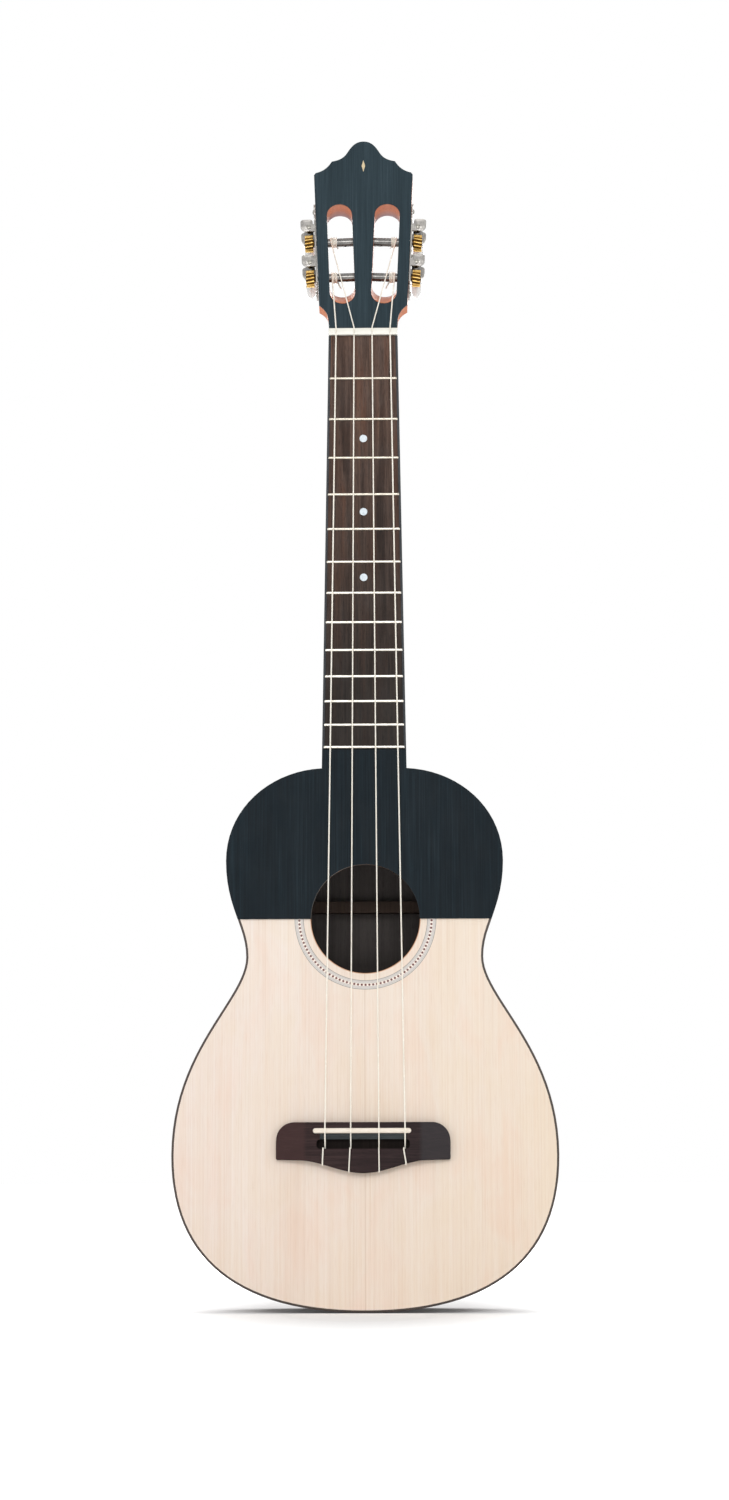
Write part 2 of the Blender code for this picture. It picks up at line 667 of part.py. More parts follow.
def head_half_outline(start):
    """The right half of the head's outline from its lower end to the tip, as (x, distance along the face)."""
    half = [(NUT_WIDTH / 2, start)]
    cove, lower, upper = (Vector(p) for p in (HEAD_COVE_START, HEAD_LOWER_CORNER, HEAD_UPPER_CORNER))
    shoulder, bend, tip = Vector(CREST_SHOULDER), Vector(CREST_BEND), Vector((0, CREST_TIP))
    reach = upper.x - shoulder.x
    dome = tip.y - bend.y
    leave, arrive = cove + Vector(COVE_LEAVE), lower - Vector(COVE_ARRIVE)
    half += [tuple(p) for p, _ in bezier(cove, leave, arrive, lower, 5)]
    half.append(tuple(lower))
    corner = upper + Vector((-UPPER_CORNER_ROUND, UPPER_CORNER_ROUND / 2))
    half.append((upper.x, upper.y - UPPER_CORNER_ROUND))
    half += [tuple(p) for p, _ in bezier(corner, corner + Vector((-0.45 * reach, 0.12 * reach)),
                                         shoulder - Vector((-0.22 * reach, 0.4 * reach)), shoulder, 6)]
    half += [tuple(p) for p, _ in bezier(shoulder, shoulder + Vector((-0.55 * dome, 0.1 * dome)),
                                         bend - Vector((-0.22 * dome, 0.38 * dome)), bend, 6)]
    half += [tuple(p) for p, _ in bezier(bend, bend + Vector((-0.28 * dome, 0.5 * dome)),
                                         tip + Vector((0.62 * dome, 0)), tip, 7)]
    half.append((0, CREST_TIP))
    return half


def slot_outline(ramp=0.0):
    """One head slot in its side's frame; ramp moves the lower round end towards the tip."""
    radius = SLOT_WIDTH / 2
    middle = -(SLOT_WALL + radius)
    low = -SLOT_BELOW_ROLLER + radius + ramp
    high = ROLLER_SPACING + SLOT_ABOVE_ROLLER - radius
    steps = 10
    turns = [math.pi * i / steps for i in range(steps + 1)]
    upper = [(middle + radius * math.cos(t), high + radius * math.sin(t)) for t in turns]
    lower = [(middle - radius * math.cos(t), low - radius * math.sin(t)) for t in turns]
    return upper + lower


def head_side_x(along):
    lower, upper = HEAD_LOWER_CORNER, HEAD_UPPER_CORNER
    return lower[0] + (upper[0] - lower[0]) * (along - lower[1]) / (upper[1] - lower[1])


HEAD_MATRIX = Matrix.Translation((0, FACE_Y, NUT_Z)) @ Matrix.Rotation(-HEAD_TILT, 4, "X")


def side_local(side):
    """The frame of one side of the head, inside the head's frame, with its origin by the lower roller."""
    slant = Matrix.Rotation(side * SIDE_SLANT, 4, "Y")
    return Matrix.Translation((side * head_side_x(ROLLER_LOW), 0, ROLLER_LOW)) @ slant


def frame(name, matrix, parent=None):
    made = bpy.data.objects.new(name, None)
    PARTS.objects.link(made)
    made.parent = parent
    made.matrix_local = matrix
    return made


def head_plane(name, loops, front, back, parent, material_name=None, cutter=False):
    """A flat piece parallel to the head's face, between two depths behind it."""
    place = Matrix.Translation((0, (front + back) / 2, 0)) @ FACING
    return link(name, outline_mesh(name, loops, back - front), place, material_name, parent, cutter)


def make_neck_and_head(head_frame, side_frames):
    slab_front = VENEER_THICKNESS + SEAT
    slab = head_plane("head_slab", [mirrored(head_half_outline(HEAD_START))], slab_front, HEAD_THICKNESS,
                      head_frame, cutter=True)
    run = (HANDSTOP_TOP - HEAD_START) / (HEAD_THICKNESS - HANDSTOP_FRONT)
    past = HEAD_THICKNESS + 2 * CUT_PAST
    low, high = HEAD_START - CUT_PAST, HEAD_START + (past - HANDSTOP_FRONT) * run
    wedge = [(HANDSTOP_FRONT - CUT_PAST / run, low), (past, low), (past, high)]
    handstop = link("handstop", outline_mesh("handstop", [wedge], 2 * HEAD_UPPER_CORNER[0]), ACROSS,
                    parent=head_frame, cutter=True)
    boolean(slab, handstop)
    tenon = box("tenon", (-TENON_WIDTH / 2, TENON_FRONT, below_nut(JOINT_AT + TENON_LENGTH)),
                (TENON_WIDTH / 2, TENON_FRONT + TENON_DEPTH, below_nut(JOINT_AT - CUT_PAST)), cutter=True)
    blank = link("neck_blank", neck_blank_mesh(), Matrix(), "cedar")
    boolean(blank, slab, "UNION")
    boolean(blank, tenon, "UNION")
    for side, side_frame in side_frames.items():
        rings = []
        for depth in (-CUT_PAST, HEAD_THICKNESS + CUT_PAST):
            ramp = depth * math.tan(SLOT_RAMP)
            rings.append([(u, depth, v) for u, v in slot_outline(ramp)])
        cutter = loft_mesh("slot_cutter", rings, side < 0)
        boolean(blank, link("slot_cutter", cutter, Matrix(), parent=side_frame, cutter=True))
        for row in (0, 1):
            inner = -(SLOT_WALL + SLOT_WIDTH + ROLLER_IN_CORE + SEAT)
            profile = [(inner, ROLLER_RADIUS + SEAT), (2 * CUT_PAST, ROLLER_RADIUS + SEAT)]
            bore = loft_mesh("roller_bore", turned_rings(profile, 12), side < 0)
            place = Matrix.Translation((0, ROLLER_BEHIND_FACE, row * ROLLER_SPACING))
            boolean(blank, link("roller_bore", bore, place, parent=side_frame, cutter=True))
    whole = baked(blank)

    edge = HEAD_MATRIX @ Vector((0, slab_front, HEAD_START))
    way = Vector((0, SCARF_DEPTH, -SCARF_RUN)).normalized()
    normal = Vector((0, SCARF_RUN, SCARF_DEPTH)).normalized()
    across = Vector((1, 0, 0))
    turn = Matrix((across, normal, across.cross(normal))).transposed().to_4x4()
    size = 2 * (JOINT_AT + CREST_TIP)
    for name, sign in (("neck", 1), ("head", -1)):
        piece = link(name, whole.copy(), Matrix(), "cedar")
        centre = edge + way * size / 4 + normal * sign * (size / 2 - SEAT / 2)
        half_space = box("scarf_" + name, [-size / 2] * 3, [size / 2] * 3, cutter=True)
        half_space.matrix_local = Matrix.Translation(centre) @ turn
        boolean(piece, half_space)


def make_veneer(head_frame):
    loops = [mirrored(head_half_outline(HEAD_START))]
    for side in (1, -1):
        to_head = side_local(side)
        places = [to_head @ Vector((side * u, 0, v)) for u, v in slot_outline()]
        loops.append([(p.x, p.z) for p in places])
    head_plane("head_veneer", loops, 0, VENEER_THICKNESS, head_frame, "dark_plate")


def make_fretboard():
    start, end = SEAT, JOINT_AT - SEAT
    half = [(neck_half_width(start), start), (neck_half_width(end), end)]
    board = front_piece("fretboard", [mirrored(in_world(half))], FACE_Y, BOARD_BACK_Y, "rosewood")
    rebate = box("rebate", (-NECK_WIDTH_AT_BODY, FACE_Y - CUT_PAST, below_nut(JOINT_AT + CUT_PAST)),
                 (NECK_WIDTH_AT_BODY, 0, below_nut(PLATE_TIP_AT - SEAT)), cutter=True)
    boolean(board, rebate)
    for number in range(1, FRET_COUNT + 1):
        distance = fret_distance(number)
        reach = neck_half_width(distance) - FRET_SHORT_OF_EDGE
        low, high = below_nut(distance) - TANG_WIDTH / 2 - SEAT, below_nut(distance) + TANG_WIDTH / 2 + SEAT
        slot = box(f"fret_slot_{number:02d}", (-reach - SEAT, FACE_Y - CUT_PAST, low),
                   (reach + SEAT, FACE_Y + TANG_DEPTH + SEAT, high), cutter=True)
        boolean(board, slot)
        make_fret(number, distance, reach)


def make_fret(number, distance, reach):
    """A crown on a tang, as one section drawn across the board."""
    crown = [(-0.5, 0.0), (-0.36, 0.7), (0.0, 1.0), (0.36, 0.7), (0.5, 0.0)]
    under = FACE_Y - SEAT
    section = [(under - FRET_HEIGHT * high + SEAT * (high > 0), FRET_WIDTH * wide) for wide, high in crown]
    section += [(under, TANG_WIDTH / 2), (FACE_Y + TANG_DEPTH, TANG_WIDTH / 2),
                (FACE_Y + TANG_DEPTH, -TANG_WIDTH / 2), (under, -TANG_WIDTH / 2)]
    rings = [[(x, y, z) for y, z in section] for x in (-reach, reach)]
    place = Matrix.Translation((0, 0, below_nut(distance)))
    link(f"fret_{number:02d}", loft_mesh("fret", rings), place, "fret_metal")


def make_nut():
    top = FACE_Y - NUT_HEIGHT
    profile = [(BOARD_BACK_Y, NUT_Z), (top, NUT_Z), (top + NUT_FALL / 4, NUT_Z + NUT_THICKNESS * NUT_CREST),
               (top + NUT_FALL, NUT_Z + NUT_THICKNESS), (BOARD_BACK_Y, NUT_Z + NUT_THICKNESS)]
    nut = link("nut", outline_mesh("nut", [profile], NUT_WIDTH), ACROSS, "bone")
    for number, string in STRINGS.items():
        radius = string["diameter"] / 2 + STRING_CLEARANCE
        rings = turned_rings([(-NUT_THICKNESS, radius), (NUT_THICKNESS, radius)], 8, "X")
        groove = link(f"nut_groove_{number}", loft_mesh("nut_groove", rings), Matrix.Translation(
            (string["place"] * NUT_SPACING, FACE_Y - STRING_ABOVE_BOARD, NUT_Z + NUT_THICKNESS / 2))
            @ Matrix.Rotation(math.pi / 2, 4, "Y"), cutter=True)
        boolean(nut, groove)


# Bridge

def belly_tail(x):
    """How far below the saddle the bridge's lower edge lies at x."""
    share = 1 - smooth(abs(x) / (BRIDGE_WIDTH * BELLY_SHARE))
    wing = BRIDGE_WING_TAIL + WING_BOW * (1 - abs(x) / (BRIDGE_WIDTH / 2))
    return wing + (BRIDGE_BELLY_TAIL - wing) * share


def make_bridge():
    half_width = BRIDGE_WIDTH / 2
    top = SADDLE_AT - BRIDGE_AHEAD
    round_x, round_d = half_width - BRIDGE_CORNER, top + BRIDGE_CORNER
    turns = [math.pi / 12 * i for i in range(7)]
    half = [(round_x + BRIDGE_CORNER * math.sin(t), round_d - BRIDGE_CORNER * math.cos(t)) for t in turns]
    steps = 12
    stations = [half_width * (1 - i / steps) for i in range(steps + 1)]
    half += [(x, SADDLE_AT + belly_tail(x)) for x in stations]
    bridge = front_piece("bridge", [mirrored(in_world(half))], -BRIDGE_HEIGHT, -SEAT, "bridge_wood")

    above = -BRIDGE_HEIGHT - CUT_PAST
    rise = (BRIDGE_HEIGHT - WING_TIP_HEIGHT) / (half_width - WING_START)
    for sign in (1, -1):
        loop = [(WING_START - CUT_PAST / rise, above), (half_width + CUT_PAST, above),
                (half_width + CUT_PAST, -WING_TIP_HEIGHT + CUT_PAST * rise)]
        wing = outline_mesh("wing_cutter", [[(sign * x, y) for x, y in loop]], 4 * BRIDGE_BELLY_TAIL)
        place = Matrix.Translation((0, 0, below_nut(SADDLE_AT)))
        boolean(bridge, link("wing_cutter", wing, place, cutter=True))

    slot = saddle_loop(SADDLE_LENGTH + 2 * SEAT, SADDLE_THICKNESS + 2 * SEAT)
    boolean(bridge, front_piece("saddle_slot", [slot], above, -SADDLE_SLOT_FLOOR, cutter=True))
    ledge = below_nut(SADDLE_AT + TIE_SLOT_LEDGE)
    block = below_nut(SADDLE_AT + TIE_BLOCK_TAIL)
    steep = TIE_SLOT_RAMP / (BRIDGE_HEIGHT - TIE_SLOT_FLOOR)
    recess = [(above, ledge + CUT_PAST * steep), (above, block),
              (-TIE_SLOT_FLOOR, block), (-TIE_SLOT_FLOOR, ledge - TIE_SLOT_RAMP)]
    boolean(bridge, link("tie_slot", outline_mesh("tie_slot", [recess], TIE_SLOT_WIDTH), ACROSS, cutter=True))
    for number, string in STRINGS.items():
        radius = string["diameter"] / 2 + STRING_CLEARANCE
        rings = turned_rings([(-BRIDGE_BELLY_TAIL, radius), (2 * CUT_PAST, radius)], 8, "X")
        place = Matrix.Translation((string["place"] * SADDLE_SPACING, -TIE_HOLE_HEIGHT, block))
        place = place @ Matrix.Rotation(-math.pi / 2, 4, "Y")
        boolean(bridge, link(f"tie_hole_{number}", loft_mesh("tie_hole", rings), place, cutter=True))
    saddle = saddle_loop(SADDLE_LENGTH, SADDLE_THICKNESS)
    front_piece("saddle", [saddle], -SADDLE_TOP, -SADDLE_SLOT_FLOOR - SEAT, "bone")


def saddle_loop(length, thickness):
    radius = thickness / 2
    straight = length / 2 - radius
    steps = 6
    half = [(straight + radius * math.sin(t), SADDLE_AT - radius * math.cos(t))
            for t in (math.pi * i / steps for i in range(steps + 1))]
    loop = in_world(half)
    return loop + [(-x, z) for x, z in reversed(loop)]


# Strings

def winding_points(string, start):
    """Points in the side's frame, from where the string meets the roller round it to the tail's end."""
    diameter = string["diameter"]
    radius = ROLLER_RADIUS + STRING_CLEARANCE + diameter / 2
    pitch = diameter + WINDING_GAP
    centre_v = string["row"] * ROLLER_SPACING
    first_u = -(SLOT_WALL + WINDING_OFF_WALL + diameter / 2)
    a, b = start[1] - ROLLER_BEHIND_FACE, start[2] - centre_v
    toward = math.atan2(b, a)
    spread = math.acos(-radius / math.hypot(a, b))
    options = [(sign * spread - toward + math.pi) % (2 * math.pi) - math.pi for sign in (1, -1)]
    leave = min(options, key=abs)
    points = []
    count = round(WINDING_TURNS * POINTS_PER_TURN)
    for i in range(count + 1):
        angle = leave + 2 * math.pi * i / POINTS_PER_TURN
        points.append((first_u - pitch * i / POINTS_PER_TURN, ROLLER_BEHIND_FACE - radius * math.cos(angle),
                       centre_v + radius * math.sin(angle)))
    last, before = Vector(points[-1]), Vector(points[-2])
    way = (last - before).normalized()
    points.append(tuple(last + way * diameter))
    drift = (way + Vector(TAIL_DRIFT)).normalized()
    points.append(tuple(last + way * diameter + drift * TAIL_LENGTH))
    return points


def string_route(string):
    """The string from its tail on the roller over nut and saddle, through the tie block and back over it."""
    side, radius = string["side"], string["diameter"] / 2
    nut_x = string["place"] * NUT_SPACING
    saddle_x = string["place"] * SADDLE_SPACING
    nut_y = FACE_Y - STRING_ABOVE_BOARD
    nut_back = Vector((nut_x, nut_y, NUT_Z + NUT_THICKNESS))
    to_world = HEAD_MATRIX @ side_local(side)
    flip = Matrix.Diagonal((side, 1, 1, 1))
    start = flip @ to_world.inverted() @ nut_back
    route = []
    if string["row"] == 0:
        lip_v = -SLOT_BELOW_ROLLER + SLOT_WIDTH * SLOT_LIP
        share = (lip_v - start.z) / -start.z
        end_u = -(SLOT_WALL + WINDING_OFF_WALL + radius)
        lip = Vector((start.x + (end_u - start.x) * share, -(SEAT + radius), lip_v))
        route = [lip]
        winding = winding_points(string, lip)
    else:
        winding = winding_points(string, start)
    route = list(reversed(winding)) + route
    points = [to_world @ flip @ Vector(p) for p in route]
    points.append(nut_back)
    points.append(Vector((nut_x, nut_y, NUT_Z)))

    over_saddle = -(SADDLE_TOP + SEAT + radius)
    hole_y = -TIE_HOLE_HEIGHT
    for along in (-SADDLE_THICKNESS / 2, SADDLE_THICKNESS / 2):
        points.append(Vector((saddle_x, over_saddle, below_nut(SADDLE_AT + along))))
    bend = TIE_BEND
    points.append(Vector((saddle_x, hole_y, below_nut(SADDLE_AT + TIE_BLOCK_TAIL - bend * 0.4))))
    shift = string["tie_shift"]
    edge = max(belly_tail(saddle_x + radius), belly_tail(saddle_x - shift - radius))
    tail_at = SADDLE_AT + edge + 2 * SEAT + radius
    top_y = -(BRIDGE_HEIGHT + SEAT + radius)
    front_at = SADDLE_AT + TIE_BLOCK_TAIL
    steps = 4
    for i in range(steps + 1):
        turn = math.pi / 2 * i / steps
        points.append(Vector((saddle_x, hole_y + bend * (math.cos(turn) - 1),
                              below_nut(tail_at - bend + bend * math.sin(turn) + bend * 0.6))))
    for i in range(steps + 1):
        turn = math.pi / 2 * i / steps
        points.append(Vector((saddle_x - shift * 0.15, top_y + bend * (1 - math.sin(turn)),
                              below_nut(tail_at - bend * 0.4 - bend * (1 - math.cos(turn))))))
    points.append(Vector((saddle_x - shift, top_y, below_nut(front_at + bend / 2))))
    points.append(Vector((saddle_x - shift, top_y + bend / 3, below_nut(front_at - bend / 2))))
    return points


def least_gap(points, diameter):
    """The smallest gap between two places of a tube that lie over three diameters apart along it."""
    run = [0.0]
    for before, after in zip(points, points[1:]):
        run.append(run[-1] + (after - before).length)
    least = math.inf
    for i, first in enumerate(points):
        for j in range(i + 1, len(points)):
            if run[j] - run[i] > 3 * diameter:
                least = min(least, (points[j] - first).length - diameter)
    return least


def make_strings():
    for number, string in STRINGS.items():
        points = string_route(string)
        tube(f"string_{number}", points, string["diameter"], "nylon")
        print(f"string_{number}: least gap to itself {least_gap(points, string['diameter']) / MM:.2f} mm")


# Tuning machines

def plate_outline():
    """The side plate, full width along the machines and stepped down to scalloped ends, in w and v."""
    low, high = -PLATE_BELOW, ROLLER_SPACING + PLATE_ABOVE
    middle = ROLLER_BEHIND_FACE
    step = SCALLOP * 0.7
    wide_low = -GEAR_TIP_RADIUS - step
    wide_high = ROLLER_SPACING + WORM_OFFSET + EAR_LENGTH / 2 + step
    half = [(PLATE_WIDTH / 2, wide_low), (PLATE_WIDTH / 2, wide_high)]

    def scallops(start, end):
        """Three round lobes that narrow towards the tip."""
        edge = []
        lobes, steps = 3, 4
        for i in range(lobes * steps + 1):
            share = i / (lobes * steps)
            width = PLATE_WIDTH * (PLATE_END_WIDE - PLATE_END_TAPER * share)
            lobe = SCALLOP * abs(math.sin(lobes * math.pi * share))
            edge.append((width + lobe, start + (end - start) * share))
        return edge

    half += scallops(wide_high + step, high)
    right = list(reversed(scallops(wide_low - step, low))) + half
    loop = [(middle + w, v) for w, v in right]
    return loop + [(middle - w, v) for w, v in reversed(right)]


def ear_outline(centre):
    """An ear bent out of the plate, in u and v: a shield with a square top and a round bottom."""
    half = EAR_LENGTH / 2
    loop = [(SEAT, centre - half), (SEAT, centre + half)]
    turns = [math.pi / 2 * i / 3 for i in range(4)]
    for corner, sign, ordered in ((EAR_TOP_CORNER, 1, turns), (EAR_BOTTOM_CORNER, -1, reversed(turns))):
        for t in ordered:
            across, along = corner * (1 - math.sin(t)), corner * (1 - math.cos(t))
            loop.append((EAR_REACH - across, centre + sign * (half - along)))
    return loop


def make_tuner_plate(side, side_frame):
    place = Matrix.Translation((side * (SEAT + PLATE_METAL / 2), 0, 0)) @ ACROSS
    name = "tuner_plate_treble" if side > 0 else "tuner_plate_bass"
    plate = link(name, outline_mesh(name, [plate_outline()], PLATE_METAL), place, "nickel", side_frame)
    for row in (0, 1):
        worm_v = row * ROLLER_SPACING + WORM_OFFSET
        for front in (EAR_FRONT, EAR_BACK - EAR_THICKNESS):
            loop = [(side * u, v) for u, v in ear_outline(worm_v)]
            ear = head_plane("ear", [loop], front, front + EAR_THICKNESS, side_frame, cutter=True)
            boolean(plate, ear, "UNION")
        wide = JOURNAL_RADIUS + SEAT
        journal = turned_rings([(EAR_FRONT - CUT_PAST, wide), (EAR_BACK + CUT_PAST, wide)], 10, "Y")
        bore = link("journal_bore", loft_mesh("journal_bore", journal),
                    Matrix.Translation((side * GEAR_MIDDLE, 0, worm_v)), parent=side_frame, cutter=True)
        boolean(plate, bore)
        wide = SPIGOT_RADIUS + SEAT
        rings = turned_rings([(-CUT_PAST, wide), (SEAT + PLATE_METAL + CUT_PAST, wide)], 10)
        spigot = loft_mesh("spigot_hole", rings, side < 0)
        place = Matrix.Translation((0, ROLLER_BEHIND_FACE, row * ROLLER_SPACING))
        boolean(plate, link("spigot_hole", spigot, place, parent=side_frame, cutter=True))


def roller_mesh(side):
    inner = -(SLOT_WALL + SLOT_WIDTH + ROLLER_IN_CORE)
    spigot_end = GEAR_MIDDLE + GEAR_WIDTH / 2 - SPIGOT_SHORT
    shoulder = -2 * ROLLER_CHAMFER
    profile = [(inner, ROLLER_RADIUS - ROLLER_CHAMFER), (inner + ROLLER_CHAMFER, ROLLER_RADIUS),
               (shoulder, ROLLER_RADIUS), (shoulder, SPIGOT_RADIUS), (spigot_end, SPIGOT_RADIUS)]
    return loft_mesh("roller", turned_rings(profile, 12), side < 0)


def gear_mesh(side):
    """Toothed wheel, hub and screw head in one; the gap between two teeth faces the worm at rest."""
    low, high = GEAR_MIDDLE - GEAR_WIDTH / 2, GEAR_MIDDLE + GEAR_WIDTH / 2
    worm_pitch_radius = (WORM_ROOT_RADIUS + WORM_TIP_RADIUS) / 2
    lead = GEAR_PITCH / (2 * math.pi * worm_pitch_radius * GEAR_PITCH_RADIUS)
    root = (TOOTH_ROOT / 2 / GEAR_ROOT_RADIUS, GEAR_ROOT_RADIUS)
    tip = (TOOTH_TIP / 2 / GEAR_TIP_RADIUS, GEAR_TIP_RADIUS)
    corners = ((-root[0], root[1]), (-tip[0], tip[1]), tip, root)
    rings = []
    for u in (low, high):
        twist = (u - GEAR_MIDDLE) * lead
        ring = []
        for tooth in range(GEAR_TEETH):
            middle = 2 * math.pi * (tooth + 0.5) / GEAR_TEETH
            for offset, radius in corners:
                angle = middle + offset - twist
                ring.append((u, radius * math.sin(angle), radius * math.cos(angle)))
        rings.append(ring)
    wheel = link("wheel", loft_mesh("wheel", rings, side < 0), Matrix(), "brass", cutter=True)
    hub_low = SEAT + PLATE_METAL + SEAT
    screw = [(high + SCREW_HEAD / 3, GEAR_HUB_RADIUS), (high + SCREW_HEAD, GEAR_HUB_RADIUS * 0.8)]
    hub = [(hub_low, GEAR_HUB_RADIUS)] + screw
    boss = link("boss", loft_mesh("boss", turned_rings(hub, 12), side < 0), Matrix(), cutter=True)
    bore_end = high - BORE_SHORT
    bore = [(hub_low - CUT_PAST, SPIGOT_RADIUS + SEAT), (bore_end, SPIGOT_RADIUS + SEAT)]
    hole = link("gear_bore", loft_mesh("gear_bore", turned_rings(bore, 12), side < 0), Matrix(), cutter=True)
    boolean(wheel, boss, "UNION")
    boolean(wheel, hole)
    return baked(wheel)


def worm_mesh(side):
    """A shaft whose middle swells into one helical thread; a crest faces the gear's middle at rest."""
    count = 10
    middle = ROLLER_BEHIND_FACE
    shoulder_front, shoulder_back = EAR_FRONT + EAR_THICKNESS + SEAT, EAR_BACK - EAR_THICKNESS - SEAT
    swell = (WORM_TIP_RADIUS - WORM_ROOT_RADIUS) / 2
    half = THREAD_PITCHES * GEAR_PITCH / 2
    per_pitch = 5
    stations = [middle - half + GEAR_PITCH * i / per_pitch for i in range(THREAD_PITCHES * per_pitch + 1)]

    def ring(along, radii):
        turns = [2 * math.pi * i / count for i in range(count)]
        return [(radius * math.sin(t), along, radius * math.cos(t)) for radius, t in zip(radii, turns)]

    def threaded(along):
        fade = min(1, (half - abs(along - middle)) / (GEAR_PITCH / 2))
        phases = [2 * math.pi * ((along - middle) / GEAR_PITCH - i / count + 0.5) for i in range(count)]
        return [WORM_ROOT_RADIUS + fade * swell * (1 + math.cos(phase)) for phase in phases]

    plain = [JOURNAL_RADIUS] * count
    root = [WORM_ROOT_RADIUS] * count
    end = EAR_BACK + BUTTON_OFF_EAR + BUTTON_SOCKET - SEAT
    rings = [ring(EAR_FRONT - SEAT, plain), ring(shoulder_front, plain), ring(shoulder_front, root)]
    rings += [ring(along, threaded(along)) for along in stations]
    rings += [ring(shoulder_back, root), ring(shoulder_back, plain), ring(end, plain)]
    return loft_mesh("worm", rings, side < 0)


def button_mesh(side):
    """A flattened oval knob with a round collar and a blind socket for the worm's shaft."""
    start = EAR_BACK + BUTTON_OFF_EAR
    socket = JOURNAL_RADIUS + SEAT
    collar = socket + 1.0 * MM
    wide, deep = BUTTON_WIDTH / 2, BUTTON_DEPTH / 2
    shape = [(BUTTON_SOCKET, socket, socket), (0, socket, socket), (0, collar, collar),
             (0.12 * BUTTON_LENGTH, collar, collar), (0.22 * BUTTON_LENGTH, 0.82 * deep, 0.7 * wide),
             (0.4 * BUTTON_LENGTH, 0.97 * deep, 0.96 * wide), (0.62 * BUTTON_LENGTH, deep, wide),
             (0.86 * BUTTON_LENGTH, 0.93 * deep, 0.87 * wide), (BUTTON_LENGTH, 0.6 * deep, 0.55 * wide)]
    count = 12
    rings = []
    for along, half_x, half_v in shape:
        turns = [2 * math.pi * i / count for i in range(count)]
        rings.append([(half_x * math.sin(t), start + along, half_v * math.cos(t)) for t in turns])
    return loft_mesh("button", rings, side < 0)


def make_tuners(side_frames):
    for side, side_frame in side_frames.items():
        make_tuner_plate(side, side_frame)
        meshes = {"roller": (roller_mesh(side), "steel"), "gear": (gear_mesh(side), "brass"),
                  "worm": (worm_mesh(side), "steel"), "button": (button_mesh(side), "pearl")}
        for number, string in STRINGS.items():
            if string["side"] != side:
                continue
            row_v = string["row"] * ROLLER_SPACING
            roller_place = Matrix.Translation((0, ROLLER_BEHIND_FACE, row_v))
            worm_place = Matrix.Translation((side * GEAR_MIDDLE, 0, row_v + WORM_OFFSET))
            for kind, place in (("roller", roller_place), ("gear", roller_place), ("worm", worm_place),
                                ("button", worm_place)):
                mesh, finish = meshes[kind]
                link(f"{kind}_{number}", mesh, place, finish, side_frame)


def build():
    make_plates()
    make_tap_plate()
    make_sides()
    make_linings_and_blocks()
    make_braces()
    head_frame = frame("head_frame", HEAD_MATRIX)
    side_frames = {side: frame(f"tuner_frame_{name}", side_local(side), head_frame)
                   for side, name in ((1, "treble"), (-1, "bass"))}
    make_neck_and_head(head_frame, side_frames)
    make_veneer(head_frame)
    make_fretboard()
    make_nut()
    make_bridge()
    make_strings()
    make_tuners(side_frames)


build()
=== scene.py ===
import math

import bmesh
import bpy
from mathutils import Matrix, Vector


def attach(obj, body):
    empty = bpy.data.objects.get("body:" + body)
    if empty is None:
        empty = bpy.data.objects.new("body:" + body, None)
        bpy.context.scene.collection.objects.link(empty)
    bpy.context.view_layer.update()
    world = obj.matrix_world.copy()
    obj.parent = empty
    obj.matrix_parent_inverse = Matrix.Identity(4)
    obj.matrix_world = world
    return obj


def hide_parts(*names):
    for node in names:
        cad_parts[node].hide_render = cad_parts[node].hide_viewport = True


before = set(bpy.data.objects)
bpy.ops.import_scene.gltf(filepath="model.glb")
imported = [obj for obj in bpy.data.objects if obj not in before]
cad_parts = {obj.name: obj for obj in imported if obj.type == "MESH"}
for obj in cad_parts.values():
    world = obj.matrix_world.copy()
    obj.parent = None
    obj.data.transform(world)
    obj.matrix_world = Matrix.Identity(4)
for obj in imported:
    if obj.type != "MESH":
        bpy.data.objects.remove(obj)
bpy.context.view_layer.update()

mm = 0.001     # everything below is in millimetres and becomes metres when a piece is made

# main sizes of the instrument
scaleLength = 556.0
nutZ = -17.0             # the nut's front edge
faceY = -1.2             # front of fretboard, tap plate and head veneer
boardBackY = 2.8
neckFrontY = 3.1
seat = 0.3
bodyDepth = 90.0
headTilt = math.radians(15)
soundholeRadius = 37.5
rollerSpacing = 29.2
rollerDepth = 9.0        # rollers' axis behind the head's face
holeX = 0.6              # the soundhole sits this far off the middle
nutWidth = 48.7
jointWidth = 58.8        # the neck's width where it meets the body
bodyLength = 371.8
headEdge = 5.3           # the head begins this far above the nut's front edge
scarfY = 1.8             # the head's glued joint starts this deep
saddleTop = 8
tieHoleY = -2.9          # string holes through the tie block
# saddle: x over the saddle; tie: sideways shift of the strand over the tie block, at its front and tail
strings = {
    1: {"diameter": 1.0, "side": 1, "row": 0, "place": 1.5, "saddle": 27.3, "tie": (-0.9, 0.5),
        "tail": 5.5, "turns": 3.5},
    2: {"diameter": 0.9, "side": 1, "row": 1, "place": 0.5, "saddle": 9.5, "tie": (-0.1, 0.1),
        "tail": 1.4, "turns": 3.5},
    3: {"diameter": 0.9, "side": -1, "row": 1, "place": -0.5, "saddle": -9.7, "tie": (-0.6, -1.3),
        "tail": 1.4, "turns": 4.5},
    4: {"diameter": 1.0, "side": -1, "row": 0, "place": -1.5, "saddle": -27.2, "tie": (-1.4, -1.8),
        "tail": 5.5, "turns": 3.5},
}


def fretAt(number):
    return scaleLength * (1 - 2 ** (-number / 12))


jointAt = fretAt(14)
soundholeAt = jointAt + 104.4
plateTipAt = fretAt(13) + 1.6
saddleAt = scaleLength + 1.8
tailAt = jointAt + bodyLength
tailZ = nutZ - tailAt
headStart = (5.6 + scarfY * math.sin(headTilt)) / math.cos(headTilt)


def neckHalf(distance):
    return (nutWidth + (jointWidth - nutWidth) * distance / jointAt) / 2


def smooth(share):
    share = min(max(share, 0), 1)
    return share * share * (3 - 2 * share)


# nodes and colours

